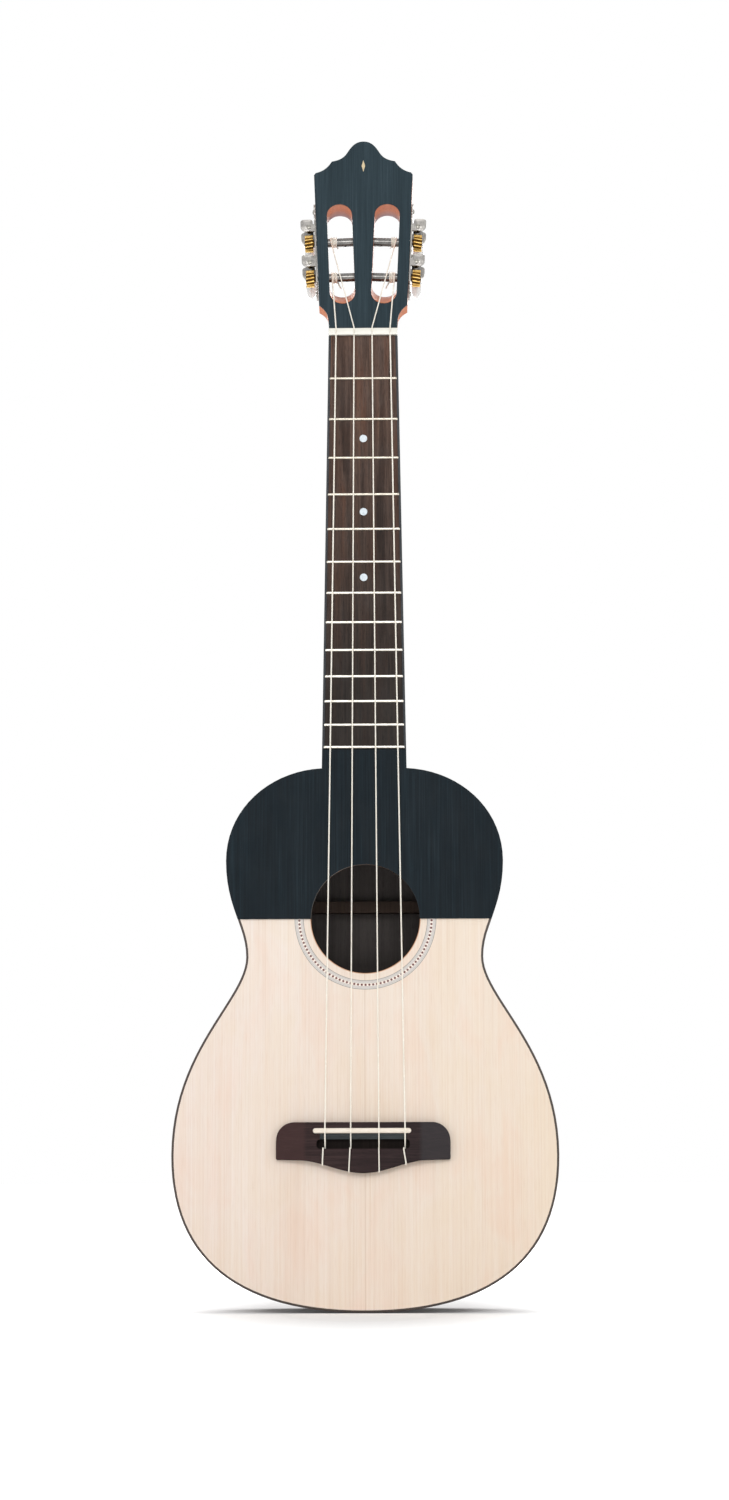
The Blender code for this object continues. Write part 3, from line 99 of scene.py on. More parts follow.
def hexColour(text):
    channels = [int(text[i:i + 2], 16) / 255 for i in (1, 3, 5)]
    return (*[c / 12.92 if c <= 0.04045 else ((c + 0.055) / 1.055) ** 2.4 for c in channels], 1)


# one shader node with its settings, socket values, links and, for a ramp, its stops
def addNode(tree, kind, values=None, links=None, stops=None, **settings):
    node = tree.nodes.new("ShaderNode" + kind)
    for name, value in settings.items():
        setattr(node, name, value)
    for socket, value in (values or {}).items():
        node.inputs[socket].default_value = value
    for socket, source in (links or {}).items():
        tree.links.new(source, node.inputs[socket])
    if stops:
        elements = node.color_ramp.elements
        while len(elements) < len(stops):
            elements.new(0.5)
        for element, (position, colour) in zip(elements, stops):
            element.position = position
            element.color = hexColour(colour)
    return node


# one maths step; each term is a node's output or a plain number
def maths(tree, operation, *terms):
    node = addNode(tree, "Math", operation=operation)
    for socket, term in zip(node.inputs, terms):
        if isinstance(term, (int, float)):
            socket.default_value = term
        else:
            tree.links.new(term, socket)
    return node.outputs[0]


def vectorLength(tree, source):
    return addNode(tree, "VectorMath", links={0: source}, operation="LENGTH").outputs[1]


def tintRamp(tree, share, stops):
    return addNode(tree, "ValToRGB", links={0: share}, stops=stops).outputs[0]


def startMaterial(name, constants):
    made = bpy.data.materials.new(name)
    made.use_nodes = True
    shader = made.node_tree.nodes["Principled BSDF"]
    for socket, value in constants.items():
        shader.inputs[socket].default_value = value
    return made, made.node_tree, shader


# a material's colour, roughness and relief, its depth in millimetres
def dress(tree, shader, colour, rough, height, strength, deep, sunken=False):
    bump = addNode(tree, "Bump", {"Strength": strength, "Distance": deep * mm}, {"Height": height},
                   invert=sunken)
    for source, socket in ((colour, "Base Color"), (rough, "Roughness"), (bump.outputs[0], "Normal")):
        tree.links.new(source, shader.inputs[socket])


# noise whose waves are size = (x, y, z) millimetres long on the piece
def drawnNoise(tree, size, detail=2.0, rough=0.5, bend=0.0, shift=0.0):
    place = addNode(tree, "TexCoord")
    fit = addNode(tree, "Mapping", {"Location": (shift, shift, shift), "Scale": [1 / (mm * s) for s in size]},
                  {"Vector": place.outputs["Object"]})
    made = addNode(tree, "TexNoise", {"Scale": 1, "Detail": detail, "Roughness": rough, "Distortion": bend},
                   {"Vector": fit.outputs[0]})
    return made.outputs[0]


def spread(tree, source, fromLow, fromHigh, toLow, toHigh):
    made = addNode(tree, "MapRange", {"From Min": fromLow, "From Max": fromHigh, "To Min": toLow,
                                      "To Max": toHigh}, {"Value": source})
    return made.outputs[0]


def blend(tree, share, first, second, kind="MIX"):
    links = {6: first}
    values = {}
    if share is None:
        values[0] = 1.0
    else:
        links[0] = share
    if isinstance(second, str):
        values[7] = hexColour(second)
    else:
        links[7] = second
    return addNode(tree, "Mix", values, links, data_type="RGBA", blend_type=kind).outputs[2]


# one coordinate of the piece in its own frame
def objectPart(tree, axis):
    place = addNode(tree, "TexCoord").outputs["Object"]
    return addNode(tree, "SeparateXYZ", links={0: place}).outputs["xyz".index(axis)]


# a colour multiplied by a tint that runs between two places along an axis
def drifted(tree, colour, drifts):
    for axis, low, high, fromTint, toTint in drifts:
        along = spread(tree, objectPart(tree, axis), low * mm, high * mm, 0, 1)
        tint = tintRamp(tree, along, [(0, fromTint), (1, toTint)])
        colour = blend(tree, None, colour, tint, "MULTIPLY")
    return colour


def grainSize(width, along, axis):
    size = [width] * 3
    size["xyz".index(axis)] = along
    return size


# wood: grain lines inside wide bands, open pores, uneven gloss and a slight relief
def wood(name, look):
    made, tree, shader = startMaterial(name, look.get("constants", {}))
    axis = look.get("axis", "z")
    lines = drawnNoise(tree, grainSize(*look["line"], axis), 2, 0.55, look.get("wave", 0.0))
    bands = drawnNoise(tree, grainSize(*look["band"], axis), 2, 0.5, look.get("wave", 0.0), 7.3)
    share = look.get("bandShare", 0.4)
    grain = addNode(tree, "Mix", {0: share}, {2: lines, 3: bands}).outputs[0]
    colour = tintRamp(tree, grain, look["colours"])
    pores = drawnNoise(tree, grainSize(*look["pore"], axis), 1, 0.5, 0.0, 3.1)
    pores = spread(tree, pores, 0.56, 0.7, 0, look["poreShare"])
    colour = blend(tree, pores, colour, look["poreColour"])
    colour = drifted(tree, colour, look.get("drifts", ()))
    for size, shift, tints in look.get("blotches", ()):
        cloud = drawnNoise(tree, grainSize(*size, axis), 3, 0.55, 0.4, shift)
        tint = tintRamp(tree, cloud, list(zip((0.36, 0.5, 0.64), tints)))
        colour = blend(tree, None, colour, tint, "MULTIPLY")
    if "streaks" in look:
        size, streakShare, streakColour = look["streaks"]
        streaks = drawnNoise(tree, grainSize(*size, axis), 1, 0.5, 0.1, 5.9)
        streaks = spread(tree, streaks, 0.6, 0.72, 0, streakShare)
        where = spread(tree, drawnNoise(tree, grainSize(28, 110, axis), 2, 0.5, 0.3, 9.4), 0.47, 0.6, 0, 1)
        colour = blend(tree, maths(tree, "MULTIPLY", streaks, where), colour, streakColour)
    if "edge" in look:
        colour = look["edge"](tree, colour)
    rough = spread(tree, drawnNoise(tree, (11, 11, 23), 3, 0.6, 0.2, 1.7), 0.3, 0.7, *look["gloss"])
    height = maths(tree, "MULTIPLY_ADD", pores, 0.6, grain)
    dress(tree, shader, colour, rough, height, look["relief"], 0.05, True)
    return made


# share near the soundhole's edge, 1 at its radius and 0 further out
def nearHole(tree, inner, outer):
    place = addNode(tree, "TexCoord").outputs["Object"]
    centre = (holeX * mm, 0, (nutZ - soundholeAt) * mm)
    away = addNode(tree, "VectorMath", {1: centre}, {0: place}, operation="DISTANCE").outputs[1]
    return spread(tree, away, outer * mm, inner * mm, 0, 1)


# the soundhole's edge is tinted more orange than the lacquered face, and the halves meet in a line
def topMarks(tree, colour):
    colour = blend(tree, nearHole(tree, soundholeRadius + 0.2, soundholeRadius + 0.8), colour, "#c08a62")
    off = maths(tree, "ABSOLUTE", objectPart(tree, "x"))
    return blend(tree, spread(tree, off, 0.15 * mm, 0.45 * mm, 0.35, 0), colour, "#c3a386")


# a painted highlight along the plate's edge at the soundhole, stronger on one side
def plateRimHighlight(tree, colour):
    rim = nearHole(tree, soundholeRadius - 0.1, soundholeRadius + 0.15)
    side = spread(tree, objectPart(tree, "x"), -18 * mm, 14 * mm, 0.75, 0.1)
    return blend(tree, maths(tree, "MULTIPLY", rim, side), colour, "#87827c")


# painted grey-violet shade deep in the slots, less at their lower ends; the head's outside stays cedar
def slotDepthShade(tree, colour):
    share = spread(tree, objectPart(tree, "y"), 9 * mm, 16 * mm, 0, 0.8)
    aside = maths(tree, "ABSOLUTE", objectPart(tree, "x"))
    limits = (spread(tree, objectPart(tree, "y"), 17.2 * mm, 17.8 * mm, 1, 0),
              spread(tree, objectPart(tree, "z"), 40 * mm, 62 * mm, 0.25, 1),
              spread(tree, objectPart(tree, "z"), 110 * mm, 112 * mm, 1, 0),
              spread(tree, aside, 27.8 * mm, 29 * mm, 1, 0))
    for limit in limits:
        share = maths(tree, "MULTIPLY", share, limit)
    return blend(tree, share, colour, "#8f7b84")


# painted light on the bridge's wings, lighter than its middle: red-brown on one side, slate on the other
def wingPaintedLight(tree, colour):
    left = spread(tree, objectPart(tree, "x"), -39.5 * mm, -42.5 * mm, 0, 0.6)
    right = spread(tree, objectPart(tree, "x"), 36.5 * mm, 39.5 * mm, 0, 0.5)
    return blend(tree, right, blend(tree, left, colour, "#432e2d"), "#3c3b3d")


# Quarter-sawn spruce, planed, sanded and lacquered: fine straight lines close together under a satin film
spruce = {
    "colours": [(0.25, "#e5d5c6"), (0.5, "#ece0d4"), (0.75, "#f0e7de")],
    "line": (1.3, 260), "band": (16, 200), "bandShare": 0.3, "wave": 0.15,
    "pore": (0.5, 14), "poreShare": 0.12, "poreColour": "#c9a688",
    "gloss": (0.38, 0.5), "relief": 0.12,
    # the drifts are a faint painted shade: darker towards the tail, and a little darker and warmer towards the
    # treble side
    "drifts": [("x", -120, 120, "#fffdff", "#fefaf4"), ("z", tailZ, tailZ + 240, "#fcf9f6", "#ffffff")],
    "blotches": [((26, 60), 2.6, ("#fffaf8", "#ffffff", "#fefdfa")),
                 ((9, 150), 8.2, ("#fefbf8", "#ffffff", "#fffefc"))],
    "streaks": ((0.9, 170), 0.3, "#d9c2a8"),
    "edge": topMarks,
    "constants": {"Specular IOR Level": 0.4},
}
# Black-dyed hardwood veneer, sanded and oiled: blue-black with thin lighter streaks along the grain
dyedVeneer = {
    "colours": [(0.3, "#0b1217"), (0.55, "#131d23"), (0.8, "#202d34")],
    "line": (0.9, 60), "band": (9, 130), "bandShare": 0.35, "wave": 0.25,
    "pore": (0.35, 7), "poreShare": 0.25, "poreColour": "#0f1316",
    "gloss": (0.44, 0.6), "relief": 0.25,
    # the edge at the soundhole carries a painted highlight
    "edge": plateRimHighlight,
    "constants": {"Specular IOR Level": 0.1},
}
# The same veneer on the head, which leans back and takes more of the light from above
headVeneerLook = {
    **dyedVeneer, "colours": [(0.3, "#212d33"), (0.55, "#2d3b42"), (0.8, "#3d4b53")], "poreColour": "#1b252a",
}
# Dark mahogany-like sides and back, filled and lacquered: deep red-brown under a clear film
lacqueredDark = {
    "colours": [(0.25, "#2f1a13"), (0.5, "#4a2c20"), (0.75, "#5f3a2a")],
    "line": (1.8, 90), "band": (14, 160), "wave": 0.4,
    "pore": (0.4, 5), "poreShare": 0.5, "poreColour": "#21120d",
    "gloss": (0.24, 0.36), "relief": 0.15,
    "constants": {"Coat Weight": 0.2, "Coat Roughness": 0.12, "Specular IOR Level": 0.2},
}
# The back's inner face, bare wood under dust: grey-brown and matt, with painted shade low in the soundhole
dustAndShadeWood = {
    "colours": [(0.25, "#6a6461"), (0.5, "#76706e"), (0.75, "#827b78")],
    "line": (1.8, 90), "band": (14, 160), "wave": 0.4,
    "pore": (0.4, 5), "poreShare": 0.3, "poreColour": "#514a47",
    "gloss": (0.8, 0.95), "relief": 0.3,
    # painted shade: the face darkens from just above the soundhole's middle downwards
    "drifts": [("z", nutZ - soundholeAt - 26, nutZ - soundholeAt + 4, "#9e9c9b", "#ffffff")],
    "constants": {"Specular IOR Level": 0.08},
}
# The cut inside of the bridge's recess, painted near black as the shade that fills it
recessShadeWood = {
    **dustAndShadeWood, "colours": [(0.25, "#161211"), (0.5, "#1e1917"), (0.75, "#27201d")], "poreColour": "#0e0b0a",
    "drifts": (),
}
# Dyed wood strip, scraped flush: nearly black edge line
bindingWood = {
    "colours": [(0.3, "#241a16"), (0.5, "#33261f"), (0.7, "#42332a")],
    "line": (0.6, 30), "band": (5, 60),
    "pore": (0.3, 4), "poreShare": 0.2, "poreColour": "#1a120f",
    "gloss": (0.36, 0.5), "relief": 0.1,
}
# Mahogany offcuts left raw inside the body: brown, dry and matt
rawWood = {
    "colours": [(0.25, "#54463e"), (0.5, "#605148"), (0.75, "#6d5d53")],
    "line": (1.5, 120), "band": (12, 100),
    "pore": (0.5, 8), "poreShare": 0.3, "poreColour": "#3c3029",
    "gloss": (0.66, 0.8), "relief": 0.4,
    "constants": {"Specular IOR Level": 0.2},
}
# Spanish cedar, carved, sanded and sealed: warm orange-brown with short dark pores
cedar = {
    "colours": [(0.25, "#9a5232"), (0.5, "#b3643c"), (0.75, "#c67848")],
    "line": (1.4, 70), "band": (11, 130), "wave": 0.35,
    "pore": (0.4, 5), "poreShare": 0.4, "poreColour": "#7a3d24",
    "gloss": (0.4, 0.56), "relief": 0.25,
}
# The head's cedar where it is cut across for the slots: fresher and more orange
headCedarLook = {
    **cedar, "colours": [(0.25, "#b5623a"), (0.5, "#cd7545"), (0.75, "#dc8751")], "poreColour": "#94502f",
    # deep in the slots the head's cedar carries a painted grey-violet shade
    "edge": slotDepthShade,
}
# Rosewood, radiused by hand and oiled: brown and black streaks with open pores
rosewood = {
    "colours": [(0.25, "#352923"), (0.5, "#594840"), (0.75, "#766053")],
    "line": (1.1, 60), "band": (7, 110), "bandShare": 0.5, "wave": 0.4,
    "pore": (0.35, 5), "poreShare": 0.55, "poreColour": "#1f1613",
    "gloss": (0.42, 0.6), "relief": 0.35,
    "drifts": [("z", nutZ - 0.85 * jointAt, nutZ, "#7b8387", "#fff6f0")],
    "blotches": [((5, 90), 4.7, ("#b8aea8", "#ffffff", "#ffe9dd"))],
    "constants": {"Specular IOR Level": 0.14},
}
# Ebony strips glued along the board and scraped: plain blue-black
ebony = {
    "colours": [(0.3, "#1b1e22"), (0.6, "#262a2f"), (0.85, "#353a40")],
    "line": (0.6, 40), "band": (4, 80),
    "pore": (0.3, 4), "poreShare": 0.2, "poreColour": "#121416",
    "gloss": (0.36, 0.5), "relief": 0.15,
    "constants": {"Specular IOR Level": 0.25},
}
# Bridge of the same dark wood with its grain across, waxed: brown-purple to slate
bridgeRosewood = {
    "colours": [(0.25, "#1f1717"), (0.5, "#312525"), (0.75, "#443635")],
    "line": (1.0, 45), "band": (5, 80), "bandShare": 0.45, "wave": 0.3, "axis": "x",
    "pore": (0.35, 5), "poreShare": 0.5, "poreColour": "#1d1616",
    "gloss": (0.4, 0.56), "relief": 0.35,
    # the wings carry painted light
    "drifts": [("x", -60, 60, "#fff0ef", "#e6eaf0")], "edge": wingPaintedLight,
    "constants": {"Specular IOR Level": 0.11},
}
# The bridge's ledge behind the saddle, painted slate grey as the light that its upward-facing slope catches
ledgePaintedLight = {
    **bridgeRosewood, "colours": [(0.25, "#303436"), (0.5, "#3a3f41"), (0.75, "#454a4c")], "drifts": (),
}
# Thin pale maple let into the head and sanded flush
paleInlay = {
    "colours": [(0.3, "#c9b48c"), (0.7, "#dccca8")],
    "line": (0.7, 20), "band": (4, 30),
    "pore": (0.3, 3), "poreShare": 0.15, "poreColour": "#a88f66",
    "gloss": (0.42, 0.52), "relief": 0.1,
}


# distance from a turned piece's own x axis
def turnRadius(tree):
    flat = addNode(tree, "CombineXYZ", links={1: objectPart(tree, "y"), 2: objectPart(tree, "z")}).outputs[0]
    return vectorLength(tree, flat)


# metal: a tint that drifts slightly, fine rubbed scratches and a patchy shine
def metal(name, look):
    made, tree, shader = startMaterial(name, {"Metallic": 1.0})
    tarnish = drawnNoise(tree, (3.5, 3.5, 3.5), 3, 0.6, 0.3)
    colour = tintRamp(tree, tarnish, look["colours"])
    colour = drifted(tree, colour, look.get("drifts", ()))
    if "deep" in look:
        inner, outer, dark = look["deep"]
        colour = blend(tree, spread(tree, turnRadius(tree), inner * mm, outer * mm, 1, 0), colour, dark)
    rubbed = drawnNoise(tree, look["scratch"], 2, 0.6, 0.0, 4.4)
    rough = spread(tree, rubbed, 0.3, 0.75, *look["gloss"])
    dress(tree, shader, colour, rough, rubbed, look["relief"], 0.02)
    return made


# Nickel-plated brass sheet, polished and handled: warm silver with soft cloudy patches
nickelPlate = {"colours": [(0.3, "#8b8885"), (0.7, "#aeaba6")], "scratch": (0.8, 0.8, 6),
               "gloss": (0.34, 0.46), "relief": 0.08}
# Cast brass, machine cut and left bare: gold on the teeth, dark oxide and grease between them
cutBrass = {"colours": [(0.3, "#c0954a"), (0.7, "#e8c880")], "scratch": (0.5, 3, 3), "gloss": (0.3, 0.42),
            "relief": 0.08, "deep": (4.7, 5.7, "#4a3517")}
# Blackened steel, turned: dark grey with a clear highlight along it
blackSteel = {"colours": [(0.3, "#504f4e"), (0.7, "#757370")], "scratch": (0.3, 3, 3), "gloss": (0.2, 0.34),
              "relief": 0.15}
# Bright steel screws, with the marks of the driver
screwSteel = {"colours": [(0.3, "#77756f"), (0.7, "#a19e96")], "scratch": (0.5, 0.5, 2),
              "gloss": (0.28, 0.45), "relief": 0.25}
# Nickel-silver fret wire, drawn and polished by the strings: duller near the nut, slightly yellow
fretWire = {"colours": [(0.3, "#c4c1ba"), (0.7, "#e2dfd8")], "scratch": (6, 0.4, 0.4), "gloss": (0.26, 0.4),
            "relief": 0.1,
            "drifts": [("z", nutZ - 0.65 * jointAt, nutZ - 0.3 * jointAt, "#fffdfa", "#dad4cb")]}


# smooth hard or clear matter: two close tints in soft clouds under an even polish
def cast(name, look):
    made, tree, shader = startMaterial(name, look.get("constants", {}))
    clouds = drawnNoise(tree, look["cloud"], 3, 0.6, look.get("swirl", 0.0))
    rubbed = drawnNoise(tree, (1.5, 1.5, 1.5), 2, 0.6, 0.0, 2.2)
    rough = spread(tree, rubbed, 0.3, 0.7, *look["gloss"])
    dress(tree, shader, tintRamp(tree, clouds, look["colours"]), rough, rubbed, 0.1, 0.02)
    return made


# Bleached bone, filed and polished: cream with faint streaks
polishedBone = {"colours": [(0.3, "#ece0cf"), (0.7, "#f3e9dc")], "cloud": (6, 2, 2), "gloss": (0.3, 0.42)}
# The nut's bone is whiter than the saddle's
nutBone = {**polishedBone, "colours": [(0.3, "#e5e3d8"), (0.7, "#edebe1")]}
# Clear nylon monofilament: pale and cloudy, so light spreads through it and its sides stay bright
nylonLine = {"colours": [(0.3, "#efe8da"), (0.7, "#f7f1e6")], "cloud": (4, 4, 9), "gloss": (0.2, 0.3),
             "constants": {"IOR": 1.53, "Subsurface Weight": 0.3, "Subsurface Radius": (0.5, 0.5, 0.5),
                           "Subsurface Scale": 0.001}}
# Round dots of white shell, pressed in and sanded flush: cool white
shellDot = {"colours": [(0.3, "#bdc9d1"), (0.7, "#dae4ea")], "cloud": (2, 2, 3), "swirl": 0.8,
            "gloss": (0.25, 0.35)}
# Pearl celluloid, pressed: pale clouds with a soft sheen and light inside
pearloid = {"colours": [(0.28, "#b9b8ba"), (0.5, "#dedcd9"), (0.72, "#f4f2ee")], "cloud": (5, 5, 8),
            "swirl": 1.2, "gloss": (0.18, 0.28),
            "constants": {"Coat Weight": 0.4, "Coat Roughness": 0.08, "Subsurface Weight": 0.25,
                          "Subsurface Radius": (0.6, 0.6, 0.6), "Subsurface Scale": 0.002}}


# Rosette of dyed wood strips in rings, with round dark-red dots round its pale middle ring
rosetteLook = {"inner": 42.5, "outer": 48.8, "dots": 110, "dotAt": 45.6, "dotRadius": 0.78}


def rosetteMaterial(name, look):
    made, tree, shader = startMaterial(name, {})
    place = addNode(tree, "TexCoord").outputs["Object"]
    centre = (-holeX * mm, 0, (soundholeAt - nutZ) * mm)
    centred = addNode(tree, "VectorMath", {1: centre}, {0: place}, operation="ADD")
    parts = addNode(tree, "SeparateXYZ", links={0: centred.outputs[0]})
    flat = addNode(tree, "CombineXYZ", links={0: parts.outputs[0], 2: parts.outputs[2]}).outputs[0]
    radius = vectorLength(tree, flat)
    ringPlace = spread(tree, radius, look["inner"] * mm, look["outer"] * mm, 0, 1)
    rings = addNode(tree, "ValToRGB", links={0: ringPlace}, stops=[
        (0, "#8a847f"), (0.06, "#d4cec9"), (0.14, "#b9b2ad"), (0.18, "#d8d2cd"), (0.3, "#a39c97"),
        (0.335, "#f5e9de"), (0.65, "#a39c97"), (0.685, "#d8d2cd"), (0.8, "#b9b2ad"), (0.84, "#d4cec9"),
        (0.94, "#857f7a")])
    rings.color_ramp.interpolation = "CONSTANT"
    angle = maths(tree, "ARCTAN2", parts.outputs[2], parts.outputs[0])
    turn = maths(tree, "FRACT", maths(tree, "MULTIPLY", angle, look["dots"] / (2 * math.pi)))
    pitch = 2 * math.pi * look["dotAt"] / look["dots"]
    aside = maths(tree, "MULTIPLY_ADD", turn, pitch, -pitch / 2)
    inOut = maths(tree, "MULTIPLY_ADD", radius, 1 / mm, -look["dotAt"])
    away = vectorLength(tree, addNode(tree, "CombineXYZ", links={0: aside, 1: inOut}).outputs[0])
    dot = spread(tree, away, look["dotRadius"] + 0.08, look["dotRadius"] - 0.08, 0, 1)
    colour = blend(tree, dot, rings.outputs[0], "#5c1814")
    fleck = drawnNoise(tree, (1.2, 1.2, 1.2), 2, 0.6)
    worn = spread(tree, fleck, 0.45, 0.8, 0, 0.2)
    colour = blend(tree, worn, colour, "#d9d2cb")
    dress(tree, shader, colour, spread(tree, fleck, 0.3, 0.7, 0.38, 0.5), fleck, 0.15, 0.03)
    return made


# each finish with the record's slot it stands for
finishes = {
    "spruce": (wood("quarter_sawn_spruce_lacquered", spruce), "spruce"),
    "plate": (wood("black_dyed_veneer_oiled", dyedVeneer), "dark_plate"),
    "headPlate": (wood("black_dyed_head_veneer", headVeneerLook), "dark_plate"),
    "bodyWood": (wood("dark_mahogany_lacquered", lacqueredDark), "body_wood"),
    "dusty": (wood("bare_wood_dust_and_painted_shade", dustAndShadeWood), "body_wood"),
    "recess": (wood("bridge_recess_painted_shade", recessShadeWood), "bridge_wood"),
    "binding": (wood("dyed_binding_scraped", bindingWood), "binding"),
    "inner": (wood("raw_mahogany_sawn", rawWood), "inner_wood"),
    "cedar": (wood("spanish_cedar_sealed", cedar), "cedar"),
    "headCedar": (wood("spanish_cedar_head", headCedarLook), "cedar"),
    "rosewood": (wood("rosewood_oiled", rosewood), "rosewood"),
    "ebony": (wood("ebony_scraped", ebony), "rosewood"),
    "bridge": (wood("bridge_rosewood_waxed", bridgeRosewood), "bridge_wood"),
    "ledge": (wood("bridge_rosewood_rubbed", ledgePaintedLight), "bridge_wood"),
    "inlay": (wood("maple_inlay_sanded", paleInlay), "pearl"),
    "rosette": (rosetteMaterial("rosette_strips_scraped", rosetteLook), "rosette"),
    "nickel": (metal("nickel_plate_polished", nickelPlate), "nickel"),
    "brass": (metal("brass_machine_cut", cutBrass), "brass"),
    "blackSteel": (metal("blackened_steel_turned", blackSteel), "steel"),
    "screw": (metal("steel_screw_bright", screwSteel), "steel"),
    "fretWire": (metal("nickel_silver_drawn", fretWire), "fret_metal"),
    "bone": (cast("bone_polished", polishedBone), "bone"),
    "nutBone": (cast("bone_bleached_white", nutBone), "bone"),
    "nylon": (cast("nylon_monofilament", nylonLine), "nylon"),
    "pearl": (cast("pearl_celluloid_pressed", pearloid), "pearl"),
    "shell": (cast("shell_dot_sanded", shellDot), "pearl"),
}
print("materials:", len(finishes))


# mesh tools, all in millimetres

facing = Matrix.Rotation(math.pi / 2, 4, "X")      # outline x and y become x and z
across = Matrix(((0, 0, 1, 0), (1, 0, 0, 0), (0, 1, 0, 0), (0, 0, 0, 1)))   # outline x and y become y and z


def linked(name, data):
    made = bpy.data.objects.new(name, data)
    bpy.context.scene.collection.objects.link(made)
    return made


def baked(source):
    bpy.context.view_layer.update()
    graph = bpy.context.evaluated_depsgraph_get()
    mesh = bpy.data.meshes.new_from_object(source.evaluated_get(graph))
    bpy.data.objects.remove(source, do_unlink=True)
    return mesh


# flat outlines with holes, extruded about their plane; rounding eases both edges without changing the outline
def flatMesh(loops, thickness, rounding=0.0, inset=0.0):
    curve = bpy.data.curves.new("outline", "CURVE")
    curve.dimensions = "2D"
    curve.fill_mode = "BOTH"
    curve.extrude = thickness / 2 - rounding
    curve.bevel_depth = rounding
    curve.bevel_resolution = 2
    curve.offset = -rounding - inset
    for loop in loops:
        spline = curve.splines.new("POLY")
        spline.points.add(len(loop) - 1)
        for point, (a, b) in zip(spline.points, loop):
            point.co = (a, b, 0, 1)
        spline.use_cyclic_u = True
    mesh = baked(linked("outline", curve))
    bm = bmesh.new()
    bm.from_mesh(mesh)
    bmesh.ops.remove_doubles(bm, verts=bm.verts, dist=0.002)
    bmesh.ops.recalc_face_normals(bm, faces=bm.faces)
    bm.to_mesh(mesh)
    bm.free()
    return mesh


# a flat piece facing the player, between two depths
def frontMesh(loops, front, back, rounding=0.0, inset=0.0):
    mesh = flatMesh(loops, back - front, rounding, inset)
    mesh.transform(Matrix.Translation((0, (front + back) / 2, 0)) @ facing)
    return mesh


def loftMesh(rings, mirror=False):
    bm = bmesh.new()
    sign = -1 if mirror else 1
    verts = [[bm.verts.new((sign * p[0], p[1], p[2])) for p in ring] for ring in rings]
    for ring, following in zip(verts, verts[1:]):
        for i in range(len(ring)):
            j = (i + 1) % len(ring)
            bm.faces.new((ring[i], ring[j], following[j], following[i]))
    bm.faces.new(verts[0])
    bm.faces.new(verts[-1])
    bmesh.ops.recalc_face_normals(bm, faces=bm.faces)
    mesh = bpy.data.meshes.new("loft")
    bm.to_mesh(mesh)
    bm.free()
    return mesh


# rings of a turned solid from (place along the axis, radius) pairs, its axis through centre
def turnedRings(profile, count, axis="x", centre=(0, 0, 0)):
    rings = []
    for along, radius in profile:
        ring = []
        for i in range(count):
            angle = 2 * math.pi * i / count
            a, b = radius * math.cos(angle), radius * math.sin(angle)
            point = {"x": (along, a, b), "y": (a, along, b), "z": (a, b, along)}[axis]
            ring.append(tuple(p + c for p, c in zip(point, centre)))
        rings.append(ring)
    return rings


def carve(mesh, tools, operation="DIFFERENCE"):
    blank = linked("blank", mesh)
    used = []
    for tool in tools:
        cutter = linked("cutter", tool)
        used.append(cutter)
        modifier = blank.modifiers.new("carve", "BOOLEAN")
        modifier.operation = operation
        modifier.solver = "EXACT"
        modifier.object = cutter
    made = baked(blank)
    for cutter in used:
        bpy.data.objects.remove(cutter, do_unlink=True)
    return made


def boxMesh(low, high):
    low, high = Vector(low), Vector(high)
    bm = bmesh.new()
    bmesh.ops.create_cube(bm, size=1)
    bmesh.ops.scale(bm, vec=high - low, verts=bm.verts)
    bmesh.ops.translate(bm, vec=(low + high) / 2, verts=bm.verts)
    mesh = bpy.data.meshes.new("box")
    bm.to_mesh(mesh)
    bm.free()
    return mesh


# a finished piece: mesh in millimetres of its own place, riding on a body and standing for CAD nodes
def newPiece(name, mesh, finish, nodes=(), body="root", place=None, bevel=0.0, softness=38, rounds=0):
    material, slotName = finishes[finish]
    mesh.transform(Matrix.Scale(mm, 4))
    made = linked(name, mesh)
    if place:
        world = place.copy()
        world.translation *= mm
        made.matrix_world = world
    mesh.materials.clear()
    mesh.materials.append(material)
    mesh.shade_smooth()
    mesh.set_sharp_from_angle(angle=math.radians(softness))
    if rounds:
        subdivision = made.modifiers.new("soft form", "SUBSURF")
        subdivision.levels = rounds
        subdivision.render_levels = rounds
    if bevel:
        rounding = made.modifiers.new("eased edges", "BEVEL")
        rounding.width = bevel * mm
        rounding.segments = 2
        rounding.limit_method = "ANGLE"
        rounding.angle_limit = math.radians(softness)
    if not rounds:
        normals = made.modifiers.new("even normals", "WEIGHTED_NORMAL")
        normals.keep_sharp = True
    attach(made, body)
    if nodes:
        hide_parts(*nodes)
    return made


# faces that pass the test take another finish than the rest of their piece
def refinish(made, finish, test):
    made.data.materials.append(finishes[finish][0])
    for face in made.data.polygons:
        if test(face.center / mm, face.normal):
            face.material_index = len(made.data.materials) - 1


# points of a cubic curve with their directions, without the last one
def bezier(start, leave, arrive, end, steps):
    start, leave, arrive, end = (Vector(p) for p in (start, leave, arrive, end))
    points = []
    for i in range(steps):
        t = i / steps
        s = 1 - t
        place = start * s ** 3 + leave * 3 * t * s ** 2 + arrive * 3 * t * t * s + end * t ** 3
        way = (leave - start) * s ** 2 + (arrive - leave) * 2 * t * s + (end - arrive) * t * t
        points.append((place, way.normalized()))
    return points


def mirrored(half):
    return half + [(-x, y) for x, y in reversed(half) if x > 1e-4]


def circle(centre, radius, count):
    turns = [2 * math.pi * i / count for i in range(count)]
    return [(centre[0] + radius * math.cos(t), centre[1] + radius * math.sin(t)) for t in turns]


# body outline: half widths and distances below the nut, with the reach of each curve's handles
bodyShape = {"shoulder": (29.4, 0), "upper": (95.6, 64.2), "waist": (81.5, 130.6), "lower": (132.3, 265.8),
             "tail": bodyLength, "slope": 2.75, "shoulderReach": 36.4, "tailReach": 86.0,
             "upperReach": (36.0, 32.3), "waistReach": (21.4, 28.8), "lowerReach": (72.8, 70.5)}


